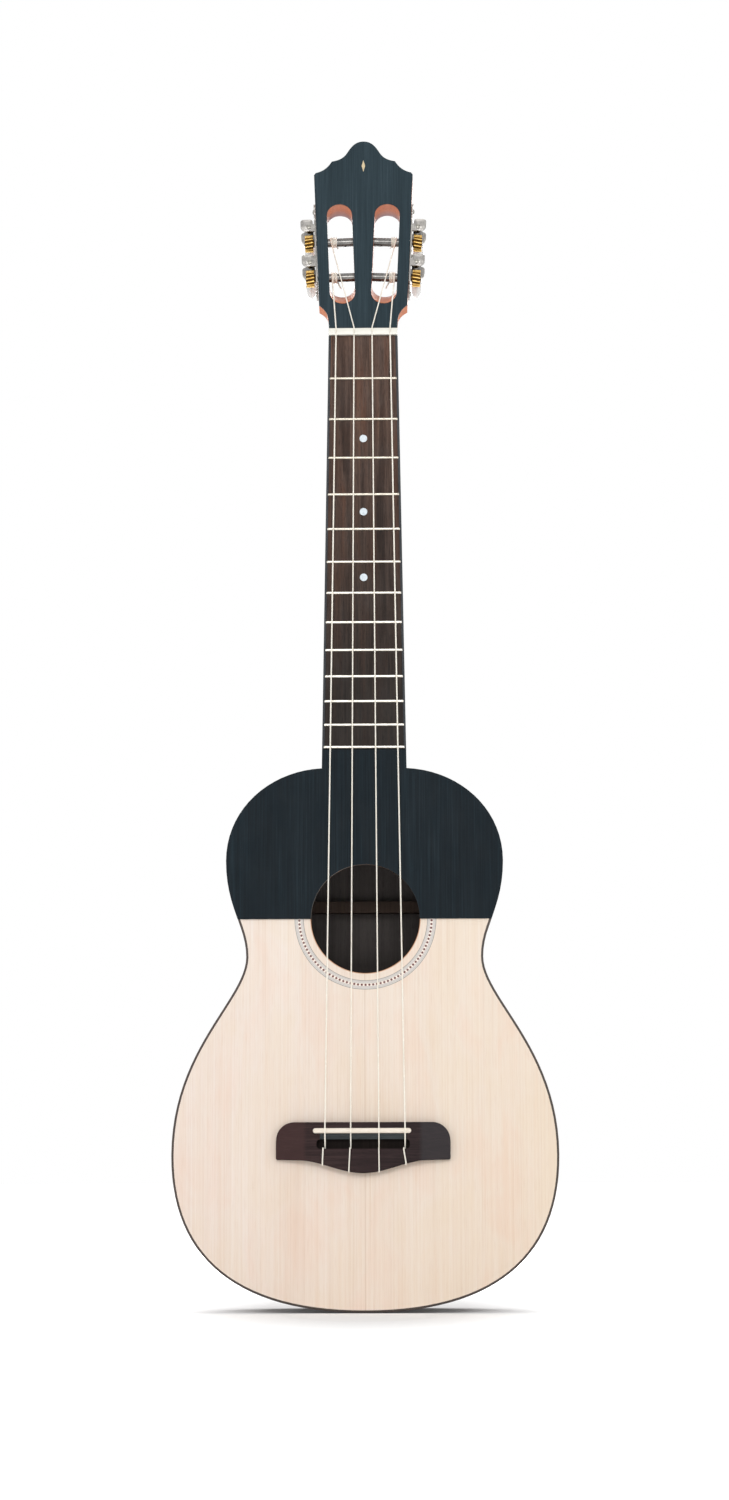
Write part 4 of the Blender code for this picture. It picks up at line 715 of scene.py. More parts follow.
def makeBodyCurve(look):
    down, drop = Vector((0, 1)), Vector((0, jointAt))
    shoulder, upper, waist, lower = (Vector(look[k]) + drop for k in ("shoulder", "upper", "waist", "lower"))
    tail = Vector((0, jointAt + look["tail"]))
    slope = math.radians(look["slope"])
    away = Vector((math.cos(slope), math.sin(slope))) * look["shoulderReach"]
    points = bezier(shoulder, shoulder + away, upper - down * look["upperReach"][0], upper, 18)
    for here, there, leave, arrive, steps in ((upper, waist, "upperReach", "waistReach", 12),
                                              (waist, lower, "waistReach", "lowerReach", 24)):
        points += bezier(here, here + down * look[leave][1], there - down * look[arrive][0], there, steps)
    beside = tail + Vector((look["tailReach"], 0))
    points += bezier(lower, lower + down * look["lowerReach"][1], beside, tail, 28)
    points.append((tail, Vector((-1, 0))))
    return points


bodyCurve = makeBodyCurve(bodyShape)


# the outline moved inwards, from startX on the joint's straight edge to the tail
def halfOutline(inset, startX):
    moved = [(p.x - way.y * inset, p.y + way.x * inset) for p, way in bodyCurve]
    past = next(i for i, (x, _) in enumerate(moved) if x > startX + seat)
    half = [(startX, jointAt + inset)]
    if past and startX > moved[past - 1][0]:
        (x0, d0), (x1, d1) = moved[past - 1], moved[past]
        half = [(startX, d0 + (d1 - d0) * (startX - x0) / (x1 - x0))]
    return half + moved[past:]


def inWorld(half):
    return [(x, nutZ - d) for x, d in half]


# a strip that follows the outline round the tail and is open at the neck
def bandLoop(outerInset, innerInset, startX):
    outer, inner = inWorld(halfOutline(outerInset, startX)), inWorld(halfOutline(innerInset, startX))
    return (outer + [(-x, z) for x, z in reversed(outer[:-1])]
            + [(-x, z) for x, z in inner[:-1]] + list(reversed(inner)))


def boardLoop(startX, inset):
    return mirrored(inWorld([(startX, jointAt + seat)] + halfOutline(inset, startX)))


# body: spruce top, dark plate above the soundhole, bent sides, flat back, thin dark edging
bodyLook = {"bindingSeen": 1.4, "bindingTucked": 0.4, "bindingDepth": 5, "sideThickness": 2.0,
            "boardThickness": 2.5, "plateRounding": 0.22, "plateBelow": 0.2, "plateOverhang": 0.15,
            "topFrom": 29.1, "topEdgingFrom": 29.4, "backFrom": 10.3, "backEdgingFrom": 10.6, "sidesFrom": 9.3}


def makeBody(look):
    edge, band = look["bindingSeen"], look["bindingDepth"]
    holeCentre = (holeX, nutZ - soundholeAt)
    hole = circle(holeCentre, soundholeRadius, 96)
    top = frontMesh([boardLoop(look["topFrom"], edge), hole], 0, look["boardThickness"], 0.3)
    newPiece("topBoard", top, "spruce", ["soundboard"])
    ring = [circle(holeCentre, rosetteLook["outer"], 128), circle(holeCentre, rosetteLook["inner"], 128)]
    newPiece("rosetteRing", frontMesh(ring, -0.04, 1.2, 0.05), "rosette", ["rosette"])
    for name, front in (("top", 0), ("back", bodyDepth - band)):
        loop = bandLoop(0, edge + look["bindingTucked"], look[name + "EdgingFrom"])
        newPiece(name + "Edging", frontMesh([loop], front, front + band, 0.35), "binding", [name + "_binding"])
    back = frontMesh([boardLoop(look["backFrom"], edge)], bodyDepth - look["boardThickness"], bodyDepth, 0.3)
    board = newPiece("backBoard", back, "bodyWood", ["back"])
    # the inner face takes the dusty wood with its painted shade
    refinish(board, "dusty", lambda centre, normal: normal.y < -0.9)
    outer, inner = (inWorld(halfOutline(inset, look["sidesFrom"])) for inset in (0, look["sideThickness"]))
    loop = outer + list(reversed(inner))
    for name, sign in (("Treble", 1), ("Bass", -1)):
        bent = frontMesh([[(sign * x, z) for x, z in loop]], band, bodyDepth - band)
        newPiece("side" + name, bent, "bodyWood", ["side_" + name.lower()])

    plateEnd = soundholeAt + look["plateBelow"]
    half = [(neckHalf(plateTipAt), plateTipAt)]
    outline = halfOutline(0, look["topEdgingFrom"])
    half += [(x, d) for x, d in outline if d < plateEnd - seat]
    below = next(i for i, (_, d) in enumerate(outline) if d >= plateEnd)
    (x0, d0), (x1, d1) = outline[below - 1:below + 1]
    half.append((x0 + (x1 - x0) * (plateEnd - d0) / (d1 - d0), plateEnd))
    loop = inWorld(half)
    turns = [math.pi * i / 48 for i in range(49)]
    radius = soundholeRadius - look["plateOverhang"]
    arch = [(holeX + radius * math.cos(t), nutZ - soundholeAt + radius * math.sin(t)) for t in turns]
    arch[0], arch[-1] = (arch[0][0], nutZ - plateEnd), (arch[-1][0], nutZ - plateEnd)
    loop += arch + [(-x, z) for x, z in reversed(loop)]
    plate = frontMesh([loop], faceY, faceY + 1.2, look["plateRounding"])
    newPiece("tapPlate", plate, "plate", ["tap_plate"])
    print("body made")


makeBody(bodyLook)

# the frame's own pieces that stay, seen only through the soundhole
for node in ("top_lining", "back_lining", "neck_block", "tail_block", "upper_bar", "lower_bar",
             "fan_brace_treble", "fan_brace_bass", "upper_back_brace", "lower_back_brace"):
    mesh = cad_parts[node].data
    mesh.materials.clear()
    mesh.materials.append(finishes["inner"][0])


# head: half outline in x and distance from the nut along its face
headShape = {"cove": (24.6, 12.5), "lower": (31.3, 25.2), "upper": (35.7, 134.8), "cornerRound": 1.2,
             "shoulder": (22.9, 145.1), "bend": (12.0, 152.0), "tip": 162.1, "thickness": 18.0, "veneer": 1.5,
             "veneerStart": 5.4, "stopStart": 4.0, "stopEnd": 40.0, "scarf": (17, 42)}
headPlace = Matrix.Translation((0, faceY, nutZ)) @ Matrix.Rotation(-headTilt, 4, "X")
sideFoot, sideTop = (31.3, 24.4), (35.5, 133.9)      # ends of the head's straight side
sideOut, sideUp = sideTop[0] - sideFoot[0], sideTop[1] - sideFoot[1]
sideSlant = math.atan2(sideOut, sideUp)
rollerLow = 52.1
slotShape = {"width": 18.0, "wall": 8.0, "below": 26.5, "above": 27.5, "ramp": math.radians(42),
             "flareDepth": 2.2, "flare": 0.8, "bore": 3.4, "boreReach": 4.8}


def headHalf(look, start):
    cove, lower, upper = (Vector(look[k]) for k in ("cove", "lower", "upper"))
    shoulder, bend, tip = Vector(look["shoulder"]), Vector(look["bend"]), Vector((0, look["tip"]))
    reach, dome, ease = upper.x - shoulder.x, tip.y - bend.y, look["cornerRound"]
    corner = upper + Vector((-ease, ease / 2))
    points = bezier(cove, cove + Vector((0, 5)), lower - Vector((4, 3)), lower, 12)
    points.append((lower, None))
    points.append((Vector((upper.x, upper.y - ease)), None))
    points += bezier(corner, corner + Vector((-0.45, 0.12)) * reach, shoulder - Vector((-0.22, 0.4)) * reach,
                     shoulder, 14)
    points += bezier(shoulder, shoulder + Vector((-0.55, 0.1)) * dome, bend - Vector((-0.22, 0.38)) * dome,
                     bend, 14)
    points += bezier(bend, bend + Vector((-0.28, 0.5)) * dome, tip + Vector((0.62, 0)) * dome, tip, 16)
    return [(24.1, start)] + [tuple(p) for p, _ in points] + [tuple(tip)]


# one head slot in its side's frame; ramp moves the lower round end towards the tip, grow widens it
def slotOutline(look, ramp=0.0, grow=0.0):
    radius = look["width"] / 2
    middle = -(look["wall"] + radius)
    low, high = -look["below"] + radius + ramp, rollerSpacing + look["above"] - radius
    radius += grow
    turns = [math.pi * i / 20 for i in range(21)]
    return ([(middle + radius * math.cos(t), high + radius * math.sin(t)) for t in turns]
            + [(middle - radius * math.cos(t), low - radius * math.sin(t)) for t in turns])


# the frame of one side of the head inside the head's frame, its origin by the lower roller
def sideLocal(side):
    x = sideFoot[0] + sideOut * (rollerLow - sideFoot[1]) / sideUp
    return Matrix.Translation((side * x, 0, rollerLow)) @ Matrix.Rotation(side * sideSlant, 4, "Y")


# neck: a D-shaped shaft that leans back into the head and sweeps down into the heel
neckShape = {"depthAtNut": 16.0, "depthAtHeel": 19.0, "heelRun": 56.0, "capRun": 11.0, "capHalf": 10.0,
             "leaning": ((24.0, 2.0, 3.4), (13.0, 0.8, 1.4))}


def neckSection(distance, front, depth, half):
    full, shaft = bodyDepth - neckFrontY, neckShape["depthAtHeel"]
    share = min(max((depth - shaft) / (full - shaft), 0), 1)
    power = 2 + 5 * share
    right = []
    for i in range(19):
        deep = math.sin(math.pi / 2 * i / 18)
        drawn = half + (neckShape["capHalf"] - half) * smooth(deep * depth / full)
        right.append((drawn * max(1 - deep ** power, 0) ** (1 / power), front + depth * deep))
    right[-1] = (0, front + depth)
    loop = right + [(-x, y) for x, y in reversed(right[:-1])]
    return [(x, y, nutZ - distance) for x, y in loop]


def neckBlank(look):
    rings = []
    for above, narrow, shallow in look["leaning"]:
        front = faceY + above * math.tan(headTilt) + headShape["veneer"] + 0.6
        rings.append(neckSection(-above, front, look["depthAtNut"] - shallow, neckHalf(0) - narrow))
    rings.append(neckSection(-headEdge, neckFrontY, look["depthAtNut"], neckHalf(0)))
    heelStart = jointAt - look["heelRun"]
    for step in range(7):
        distance = heelStart * step / 6
        depth = look["depthAtNut"] + (look["depthAtHeel"] - look["depthAtNut"]) * step / 6
        rings.append(neckSection(distance, neckFrontY, depth, neckHalf(distance)))
    capDepth = bodyDepth - 1 - neckFrontY
    sweep = look["heelRun"] - look["capRun"]
    for step in range(1, 21):
        turn = math.pi / 2 * step / 20
        distance = heelStart + sweep * math.sin(turn)
        depth = look["depthAtHeel"] + (capDepth - look["depthAtHeel"]) * (1 - math.cos(turn))
        rings.append(neckSection(distance, neckFrontY, depth, neckHalf(distance)))
    rings.append(neckSection(jointAt, neckFrontY, capDepth, neckHalf(jointAt)))
    return loftMesh(rings)


def makeNeckAndHead(look, shape):
    thick = look["thickness"]
    slab = frontMesh([mirrored(headHalf(look, headStart))], 1.0, thick, 0.5, 0.02)
    thin = look["stopStart"]
    run = (look["stopEnd"] - headStart) / (thick - thin)
    wedge = [(thin - 1 / run, headStart - 1), (thick + 2, headStart - 1),
             (thick + 2, headStart + (thick + 2 - thin) * run)]
    handstop = flatMesh([wedge], 90)
    handstop.transform(across)
    slab = carve(slab, [handstop])
    slab.transform(headPlace)
    whole = carve(neckBlank(shape), [slab], "UNION")
    deep, radius = slotShape["flareDepth"], slotShape["bore"]
    inner = -(slotShape["wall"] + slotShape["width"] + slotShape["boreReach"])
    cutters = []
    for side in (1, -1):
        toWorld = headPlace @ sideLocal(side)
        rings = []
        for depth in (-1, thick - deep, thick - 1.4, thick - 0.7, thick - 0.2, thick, thick + 1):
            back = min(max(depth - (thick - deep), 0), deep) / deep
            flare = 0.02 + slotShape["flare"] * (1 - math.sqrt(1 - back * back))
            ramp = depth * math.tan(slotShape["ramp"])
            rings.append([(u, depth, v) for u, v in slotOutline(slotShape, ramp, flare)])
        cutters.append((loftMesh(rings, side < 0), toWorld))
        for row in (0, 1):
            profile = [(inner, radius), (2, radius)]
            bore = turnedRings(profile, 24, "x", (0, rollerDepth, row * rollerSpacing))
            cutters.append((loftMesh(bore, side < 0), toWorld))
    for mesh, toWorld in cutters:
        mesh.transform(toWorld)
    whole = carve(whole, [mesh for mesh, _ in cutters])

    edge = headPlace @ Vector((0, scarfY, headStart))
    slope, fall = look["scarf"]
    way = Vector((0, slope, -fall)).normalized()
    normal = Vector((0, fall, slope)).normalized()
    turn = Matrix((Vector((1, 0, 0)), normal, Vector((1, 0, 0)).cross(normal))).transposed().to_4x4()
    reach = 1000
    for name, node, sign in (("neckShaft", "neck", 1), ("headWood", "head", -1)):
        half = boxMesh([-reach / 2] * 3, [reach / 2] * 3)
        centre = edge + way * reach / 4 + normal * sign * reach / 2
        half.transform(Matrix.Translation(centre) @ turn)
        piece = carve(whole.copy(), [half])
        if node == "head":
            piece.transform(headPlace.inverted())
            newPiece(name, piece, "headCedar", [node], place=headPlace, softness=32)
        else:
            newPiece(name, piece, "cedar", [node], softness=32)
    print("neck and head made")


makeNeckAndHead(headShape, neckShape)


def makeVeneer(look):
    loops = [mirrored(headHalf(look, look["veneerStart"]))]
    for side in (1, -1):
        places = [sideLocal(side) @ Vector((side * u, 0, v)) for u, v in slotOutline(slotShape)]
        loops.append([(p.x, p.z) for p in places])
    newPiece("headVeneer", frontMesh(loops, 0, look["veneer"] + 0.3, 0.28), "headPlate", ["head_veneer"],
             place=headPlace)


makeVeneer(headShape)

# a small plain lozenge of pale wood let into the head
lozenge = {"at": 141.0, "halfWidth": 1.3, "halfLength": 5.0}


def makeLozenge(look):
    at, wide, long = look["at"], look["halfWidth"], look["halfLength"]
    loop = [(0, at + long), (-wide, at), (0, at - long), (wide, at)]
    newPiece("headLozenge", frontMesh([loop], -0.02, 0.6), "inlay", place=headPlace)


makeLozenge(lozenge)


# fretboard: rosewood core between two thin ebony strips, flat, lying under the tap plate's tongue
boardLook = {"strip": 1.7, "fretWidth": 1.9, "fretHeight": 1.0, "fretShort": 1.1, "dotRadius": 2.7,
             "dotSpaces": (3, 5, 7)}


def boardRings(fromX, toX):
    start, notch, end = seat, plateTipAt - seat, jointAt - seat
    rings = []
    for distance, front in ((start, faceY), (notch, faceY), (notch, 0), (end, 0)):
        a, b = fromX(distance), toX(distance)
        z = nutZ - distance
        rings.append([(a, front, z), (b, front, z), (b, boardBackY, z), (a, boardBackY, z)])
    return rings


def makeFretboard(look):
    strip = look["strip"]
    core = loftMesh(boardRings(lambda d: strip - neckHalf(d), lambda d: neckHalf(d) - strip))
    newPiece("fretboardCore", core, "rosewood", ["fretboard"])
    for name, sign in (("Treble", 1), ("Bass", -1)):
        edge = loftMesh(boardRings(lambda d: sign * (neckHalf(d) - strip), lambda d: sign * neckHalf(d)))
        newPiece("boardStrip" + name, edge, "ebony", bevel=0.2)
    for number in range(1, 14):
        makeFret(look, number)
    for space in look["dotSpaces"]:
        at = nutZ - (fretAt(space - 1) + fretAt(space)) / 2
        r = look["dotRadius"]
        rings = turnedRings([(faceY - 0.03, r * 0.4), (faceY - 0.02, r - 0.06), (faceY + 0.03, r),
                             (faceY + 1.2, r)], 40, "y", (0, 0, at))
        newPiece(f"pearlDot{space}", loftMesh(rings), "shell")
    print("fretboard made")


# a domed wire with rounded ends on a tang
def makeFret(look, number):
    distance = fretAt(number)
    reach = neckHalf(distance) - look["fretShort"]
    rings = []
    ends = ((0.0, 0.25), (0.12, 0.55), (0.35, 0.82), (0.7, 0.96), (1.1, 1.0))
    stations = [(-reach + a, s) for a, s in ends] + [(reach - a, s) for a, s in reversed(ends)]
    turns = [math.pi * i / 12 for i in range(13)]
    for x, share in stations:
        ring = []
        narrow = 0.6 + 0.4 * share
        for t in turns:
            high = look["fretHeight"] * share * math.sin(t) ** 0.8
            along = look["fretWidth"] / 2 * narrow * math.cos(t)
            ring.append((x, faceY - high, nutZ - distance - along))
        ring += [(x, faceY + 0.3, nutZ - distance + tang * narrow) for tang in (0.9, -0.9)]
        rings.append(ring)
    newPiece(f"fretWire{number:02d}", loftMesh(rings), "fretWire", [f"fret_{number:02d}"])


makeFretboard(boardLook)


# nut: a filed bone block, falling away towards the head, with one round groove a string
nutShape = {"profile": ((2.8, -17), (-3.6, -17), (-3.4, -14.1), (-2.8, -12.1), (2.8, -12.1)),
            "spacing": 12.73, "stringY": -3.2}


def makeNut(look):
    mesh = flatMesh([look["profile"]], nutWidth, 0.3)
    mesh.transform(across)
    tools = []
    for string in strings.values():
        radius = string["diameter"] / 2 + 0.1
        centre = (string["place"] * look["spacing"], look["stringY"], 0)
        tools.append(loftMesh(turnedRings([(-25, radius), (-5, radius)], 16, "z", centre)))
    newPiece("boneNut", carve(mesh, tools), "nutBone", ["nut"])


makeNut(nutShape)


# bridge: a low block with thin wings, a sloped cut behind the saddle and a tie block
bridgeShape = {"half": 59.5, "height": 6.2, "tipHeight": 3.6, "wingStart": 39.5, "corner": 12.5,
               "ahead": 5.8, "wingTail": 19.6, "bellyTail": 28.7, "ease": 0.9, "recess": 63.5,
               "ledgeStart": 2.0, "ledgeEnd": 5.8, "ledgeHalf": 29.5, "ledgeFall": 1.2, "block": 12.2,
               "floor": 1.4, "shift": -1.3, "saddleShift": -2.0, "saddleLength": 67, "saddleThick": 3.5,
               "saddleRoom": 0.2}


def bellyTail(look, x):
    share = 1 - smooth(abs(x) / (2 * look["half"] * 0.36))
    wing = look["wingTail"] + 1.6 * (1 - abs(x) / look["half"])
    return wing + (look["bellyTail"] - wing) * share


def bridgeSection(look, x, shrink=0.0):
    past = max(abs(x) - (look["half"] - look["corner"]), 0)
    corner = look["corner"]
    top = saddleAt - look["ahead"] + corner - math.sqrt(max(corner ** 2 - past ** 2, 0)) + shrink
    low = saddleAt + bellyTail(look, x) - shrink
    fall = (look["height"] - look["tipHeight"]) / (look["half"] - look["wingStart"])
    run = abs(x) - look["wingStart"]
    easing = 1.2
    drop = fall * (run if run > easing else (run + easing) ** 2 / (4 * easing) if run > -easing else 0)
    high = look["height"] - drop - shrink
    ease = look["ease"]
    turns = [math.pi / 2 * i / 5 for i in range(6)]
    front = [(-(high - ease + ease * math.sin(t)), top + ease - ease * math.cos(t)) for t in turns]
    lower = [(-(high - ease + ease * math.cos(t)), low - ease + ease * math.sin(t)) for t in turns]
    return [(x, y, nutZ - d) for y, d in [(-seat, top)] + front + lower + [(-seat, low)]]


def roundedBox(halfX, fromD, toD, radius):
    corners = ((halfX - radius, fromD + radius, -1), (halfX - radius, toD - radius, 0),
               (radius - halfX, toD - radius, 1), (radius - halfX, fromD + radius, 2))
    ring = []
    for x, d, quarter in corners:
        for i in range(7):
            t = math.pi / 2 * (quarter + i / 6)
            ring.append((x + radius * math.cos(t), d + radius * math.sin(t)))
    return ring


def saddleLoop(length, thickness):
    radius = thickness / 2
    turns = [math.pi * i / 12 for i in range(13)]
    half = [(length / 2 - radius + radius * math.sin(t), saddleAt - radius * math.cos(t)) for t in turns]
    return inWorld(half) + [(-x, z) for x, z in reversed(inWorld(half))]


def makeBridge(look):
    half = look["half"]
    xs = [half * math.sin(math.pi / 2 * i / 44) for i in range(-44, 45)]
    inner = [x for x in xs if abs(x) < half - 0.9]
    rings = [bridgeSection(look, -half, 0.8), bridgeSection(look, -half + 0.25, 0.35),
             bridgeSection(look, -half + 0.8, 0.05)]
    rings += [bridgeSection(look, x) for x in inner]
    rings += [bridgeSection(look, half - 0.8, 0.05), bridgeSection(look, half - 0.25, 0.35),
              bridgeSection(look, half, 0.8)]
    blank = loftMesh(rings)
    blank.transform(Matrix.Translation((look["shift"], 0, 0)))
    long, thick, room = look["saddleLength"], look["saddleThick"], look["saddleRoom"]
    saddleSlot = frontMesh([saddleLoop(long + room, thick + room)], -saddleTop, -1.5)
    saddle = frontMesh([saddleLoop(long, thick)], -saddleTop, -1.6, 1.0)
    for mesh in (saddleSlot, saddle):
        mesh.transform(Matrix.Translation((look["saddleShift"], 0, 0)))
    high, fall = -look["height"], look["ledgeFall"]
    ledge = [(-9, -look["ledgeStart"]), (high + 0.2, -look["ledgeStart"]), (high + fall, -look["ledgeEnd"]),
             (high + fall, -look["ledgeEnd"] - 1), (-9, -look["ledgeEnd"] - 1)]
    ledgeCut = flatMesh([ledge], 2 * look["ledgeHalf"])
    ledgeCut.transform(Matrix.Translation((look["shift"], 0, nutZ - saddleAt)) @ across)
    recess = []
    for y in (high - 1, -look["floor"]):
        ring = roundedBox(look["recess"] / 2, saddleAt + look["ledgeEnd"], saddleAt + look["block"], 2.4)
        recess.append([(look["shift"] + x, y, nutZ - d) for x, d in ring])
    tools = [saddleSlot, ledgeCut, loftMesh(recess)]
    below = nutZ - saddleAt
    for string in strings.values():
        holes = []
        radius = string["diameter"] / 2 + 0.25
        for tail, d in ((0, look["block"] - 2), (1, 40)):
            centre = (string["saddle"] + string["tie"][1] * tail, tieHoleY)
            holes.append([(x, y, below - d) for x, y in circle(centre, radius, 16)])
        tools.append(loftMesh(holes))
    made = newPiece("bridgeBlock", carve(blank, tools), "bridge", ["bridge"], softness=30)

    # whether a face lies within half of the middle, between two depths and between two places along the bridge
    def within(centre, half, front, back, tailEnd, headEnd):
        aside, along = abs(centre.x - look["shift"]), centre.z - below
        return aside < half and front < centre.y < back and tailEnd < along < headEnd

    def onLedge(centre, normal):
        return within(centre, look["ledgeHalf"], high + 0.15, high + fall + 0.3, -look["ledgeEnd"],
                      -look["ledgeStart"])

    def inRecess(centre, normal):
        return within(centre, look["recess"] / 2 + 0.1, high + 0.02, -0.5, -look["block"] - 0.05,
                      -look["ledgeEnd"] + 0.05)

    # the recess takes the painted shade
    refinish(made, "recess", inRecess)
    # the ledge takes the painted light
    refinish(made, "ledge", onLedge)
    newPiece("boneSaddle", saddle, "bone", ["saddle"])
    print("bridge made")


makeBridge(bridgeShape)


# strings: tied at the bridge, over saddle and nut, wound on the rollers with a loose tail
windLook = {"core": 2.9, "gap": 0.12, "offWall": 1.5, "pointsPerTurn": 32, "drift": (-0.35, 0.1, 0),
            "lip": 0.12, "bend": 1.5}


def windingPoints(look, string, start):
    diameter, count, full = string["diameter"], look["pointsPerTurn"], 2 * math.pi
    radius = look["core"] + seat + diameter / 2
    pitch = diameter + look["gap"]
    centreV = string["row"] * rollerSpacing
    firstU = -(slotShape["wall"] + look["offWall"] + diameter / 2)
    a, b = start[1] - rollerDepth, start[2] - centreV
    spreadAngle = math.acos(-radius / math.hypot(a, b))
    options = [(sign * spreadAngle - math.atan2(b, a) + math.pi) % full - math.pi for sign in (1, -1)]
    leave = min(options, key=abs)
    points = []
    for i in range(round(string["turns"] * count) + 1):
        angle = leave + full * i / count
        points.append(Vector((firstU - pitch * i / count, rollerDepth - radius * math.cos(angle),
                              centreV + radius * math.sin(angle))))
    way = (points[-1] - points[-2]).normalized()
    last = points[-1]
    drift = (way + Vector(look["drift"])).normalized()
    points.append(last + way * diameter)
    points.append(last + way * diameter + drift * string["tail"])
    return points


def stringRoute(look, string):
    side, radius = string["side"], string["diameter"] / 2
    nutX, saddleX = string["place"] * nutShape["spacing"], string["saddle"]
    nutBack = Vector((nutX, nutShape["stringY"], nutZ + headEdge))
    toWorld = headPlace @ sideLocal(side)
    flip = Matrix.Diagonal((side, 1, 1, 1))
    start = flip @ toWorld.inverted() @ nutBack
    lip = []
    if string["row"] == 0:
        lipV = -slotShape["below"] + slotShape["width"] * look["lip"]
        share = (lipV - start.z) / -start.z
        endU = -(slotShape["wall"] + look["offWall"] + radius)
        start = Vector((start.x + (endU - start.x) * share, -(seat + radius), lipV))
        lip = [start]
    route = list(reversed(windingPoints(look, string, start))) + lip
    points = [toWorld @ flip @ p for p in route]
    points += [nutBack, Vector((nutX, nutShape["stringY"], nutZ))]
    over, half = -(saddleTop + seat + radius), bridgeShape["saddleThick"] / 2
    points += [Vector((saddleX, over, nutZ - saddleAt - along)) for along in (-half, half)]
    bend, (front, tail) = look["bend"], string["tie"]
    block = saddleAt + bridgeShape["block"]
    points.append(Vector((saddleX, tieHoleY, nutZ - block + bend * 0.4)))
    offMiddle = saddleX + tail - bridgeShape["shift"]
    edge = max(bellyTail(bridgeShape, offMiddle + radius), bellyTail(bridgeShape, offMiddle - radius))
    turnAt = saddleAt + edge + radius + 0.1
    topY = -(bridgeShape["height"] + 0.1 + radius)
    arc = [(math.cos(math.pi / 2 * i / 6), math.sin(math.pi / 2 * i / 6)) for i in range(7)]
    rising = [(tieHoleY + bend * (c - 1), bend * (1 - s)) for c, s in arc]
    rising += [(topY + bend * (1 - s), bend * (1 - c)) for c, s in arc]
    points += [Vector((saddleX + tail, y, nutZ - turnAt + along)) for y, along in rising]
    points.append(Vector((saddleX + front, topY, nutZ - block - bend / 2)))
    points.append(Vector((saddleX + front, topY + bend / 3, nutZ - block + bend / 2)))
    return points


def tubeMesh(points, diameter):
    curve = bpy.data.curves.new("line", "CURVE")
    curve.dimensions = "3D"
    curve.bevel_depth = diameter / 2
    curve.bevel_resolution = 3
    curve.use_fill_caps = True
    spline = curve.splines.new("POLY")
    spline.points.add(len(points) - 1)
    for point, place in zip(spline.points, points):
        point.co = (*place, 1)
    return baked(linked("line", curve))


for number, string in strings.items():
    line = tubeMesh(stringRoute(windLook, string), string["diameter"])
    newPiece(f"nylonString{number}", line, "nylon", [f"string_{number}"], softness=60)
print("strings made")


# tuning machines: u runs out of the head's side, w behind its face, v along the side from the lower roller
plateShape = {"thickness": 1.2, "width": 16.0, "below": 17.2, "above": 31.8, "endWide": 0.34, "endTaper": 0.22,
              "lobe": 1.4, "earHalf": 5.0, "earReach": 11.2, "earInner": 2.4, "earTop": 2.2, "earBottom": 4.2,
              "earDome": 1.1, "earRise": 2.0, "ears": ((1.0, 2.4, -1), (15.6, 17.0, 1)), "tabHalf": 3.0,
              "wormBore": 1.62, "rollerBore": 1.75, "screws": (-13.0, 18.4, 55.5)}
wormV = 8.75          # worm's axis above its roller
wormU = 5.4


def plateOutline(look):
    step = look["lobe"] * 0.7
    wideLow = -6.2 - step
    wideHigh = rollerSpacing + wormV + look["earHalf"] + step

    def lobes(start, end):
        edge = []
        for i in range(25):
            share = i / 24
            width = look["width"] * (look["endWide"] - look["endTaper"] * share)
            lobe = look["lobe"] * abs(math.sin(3 * math.pi * share))
            edge.append((width + lobe, start + (end - start) * share))
        return edge

    right = list(reversed(lobes(wideLow - step, -look["below"])))
    right += [(look["width"] / 2, wideLow), (look["width"] / 2, wideHigh)]
    right += lobes(wideHigh + step, rollerSpacing + look["above"])
    loop = [(rollerDepth + w, v) for w, v in right]
    return loop + [(rollerDepth - w, v) for w, v in reversed(right)]


# an ear bent out of the plate: a shield with rounded corners and a domed face, on a narrow tab
def earMesh(look, side, centreV, front, back, outward):
    half, outerU, innerU = look["earHalf"], look["earReach"], look["earInner"]
    turns = [math.pi / 2 * i / 8 for i in range(9)]
    outline = []
    for endU, way, corner, sign, ordered in (
            (innerU, -1, look["earBottom"], -1, turns), (innerU, -1, look["earTop"], 1, turns[::-1]),
            (outerU, 1, look["earTop"], 1, turns), (outerU, 1, look["earBottom"], -1, turns[::-1])):
        for t in ordered:
            u = endU - way * corner * (1 - math.sin(t))
            outline.append((u, sign * (half - corner * (1 - math.cos(t)))))
    face = front if outward < 0 else back
    other = back if outward < 0 else front
    dome = look["earDome"]
    profile = ((0.96, other), (1.0, other + outward * 0.15), (1.0, face - outward * 0.4),
               (0.96, face - outward * 0.08), (0.9, face), (0.84, face + outward * dome * 0.12),
               (0.68, face + outward * dome * 0.5), (0.5, face + outward * dome * 0.8),
               (0.3, face + outward * dome))
    middleU = (outerU + innerU) / 2
    middleV = centreV + (look["earRise"] if outward < 0 else 0)
    rings = []
    for share, w in profile:
        rings.append([(middleU + (u - middleU) * share, w, middleV + v * share) for u, v in outline])
    return loftMesh(rings, side < 0)


# the tab that joins an ear to the plate
def tabMesh(look, side, centreV, front, back):
    far, half = 2 * look["earInner"], look["tabHalf"]
    mesh = boxMesh((seat + 0.2, front + 0.1, centreV - half), (far, back - 0.1, centreV + half))
    if side < 0:
        mesh.transform(Matrix.Diagonal((-1, 1, 1, 1)))
        mesh.flip_normals()
    return mesh


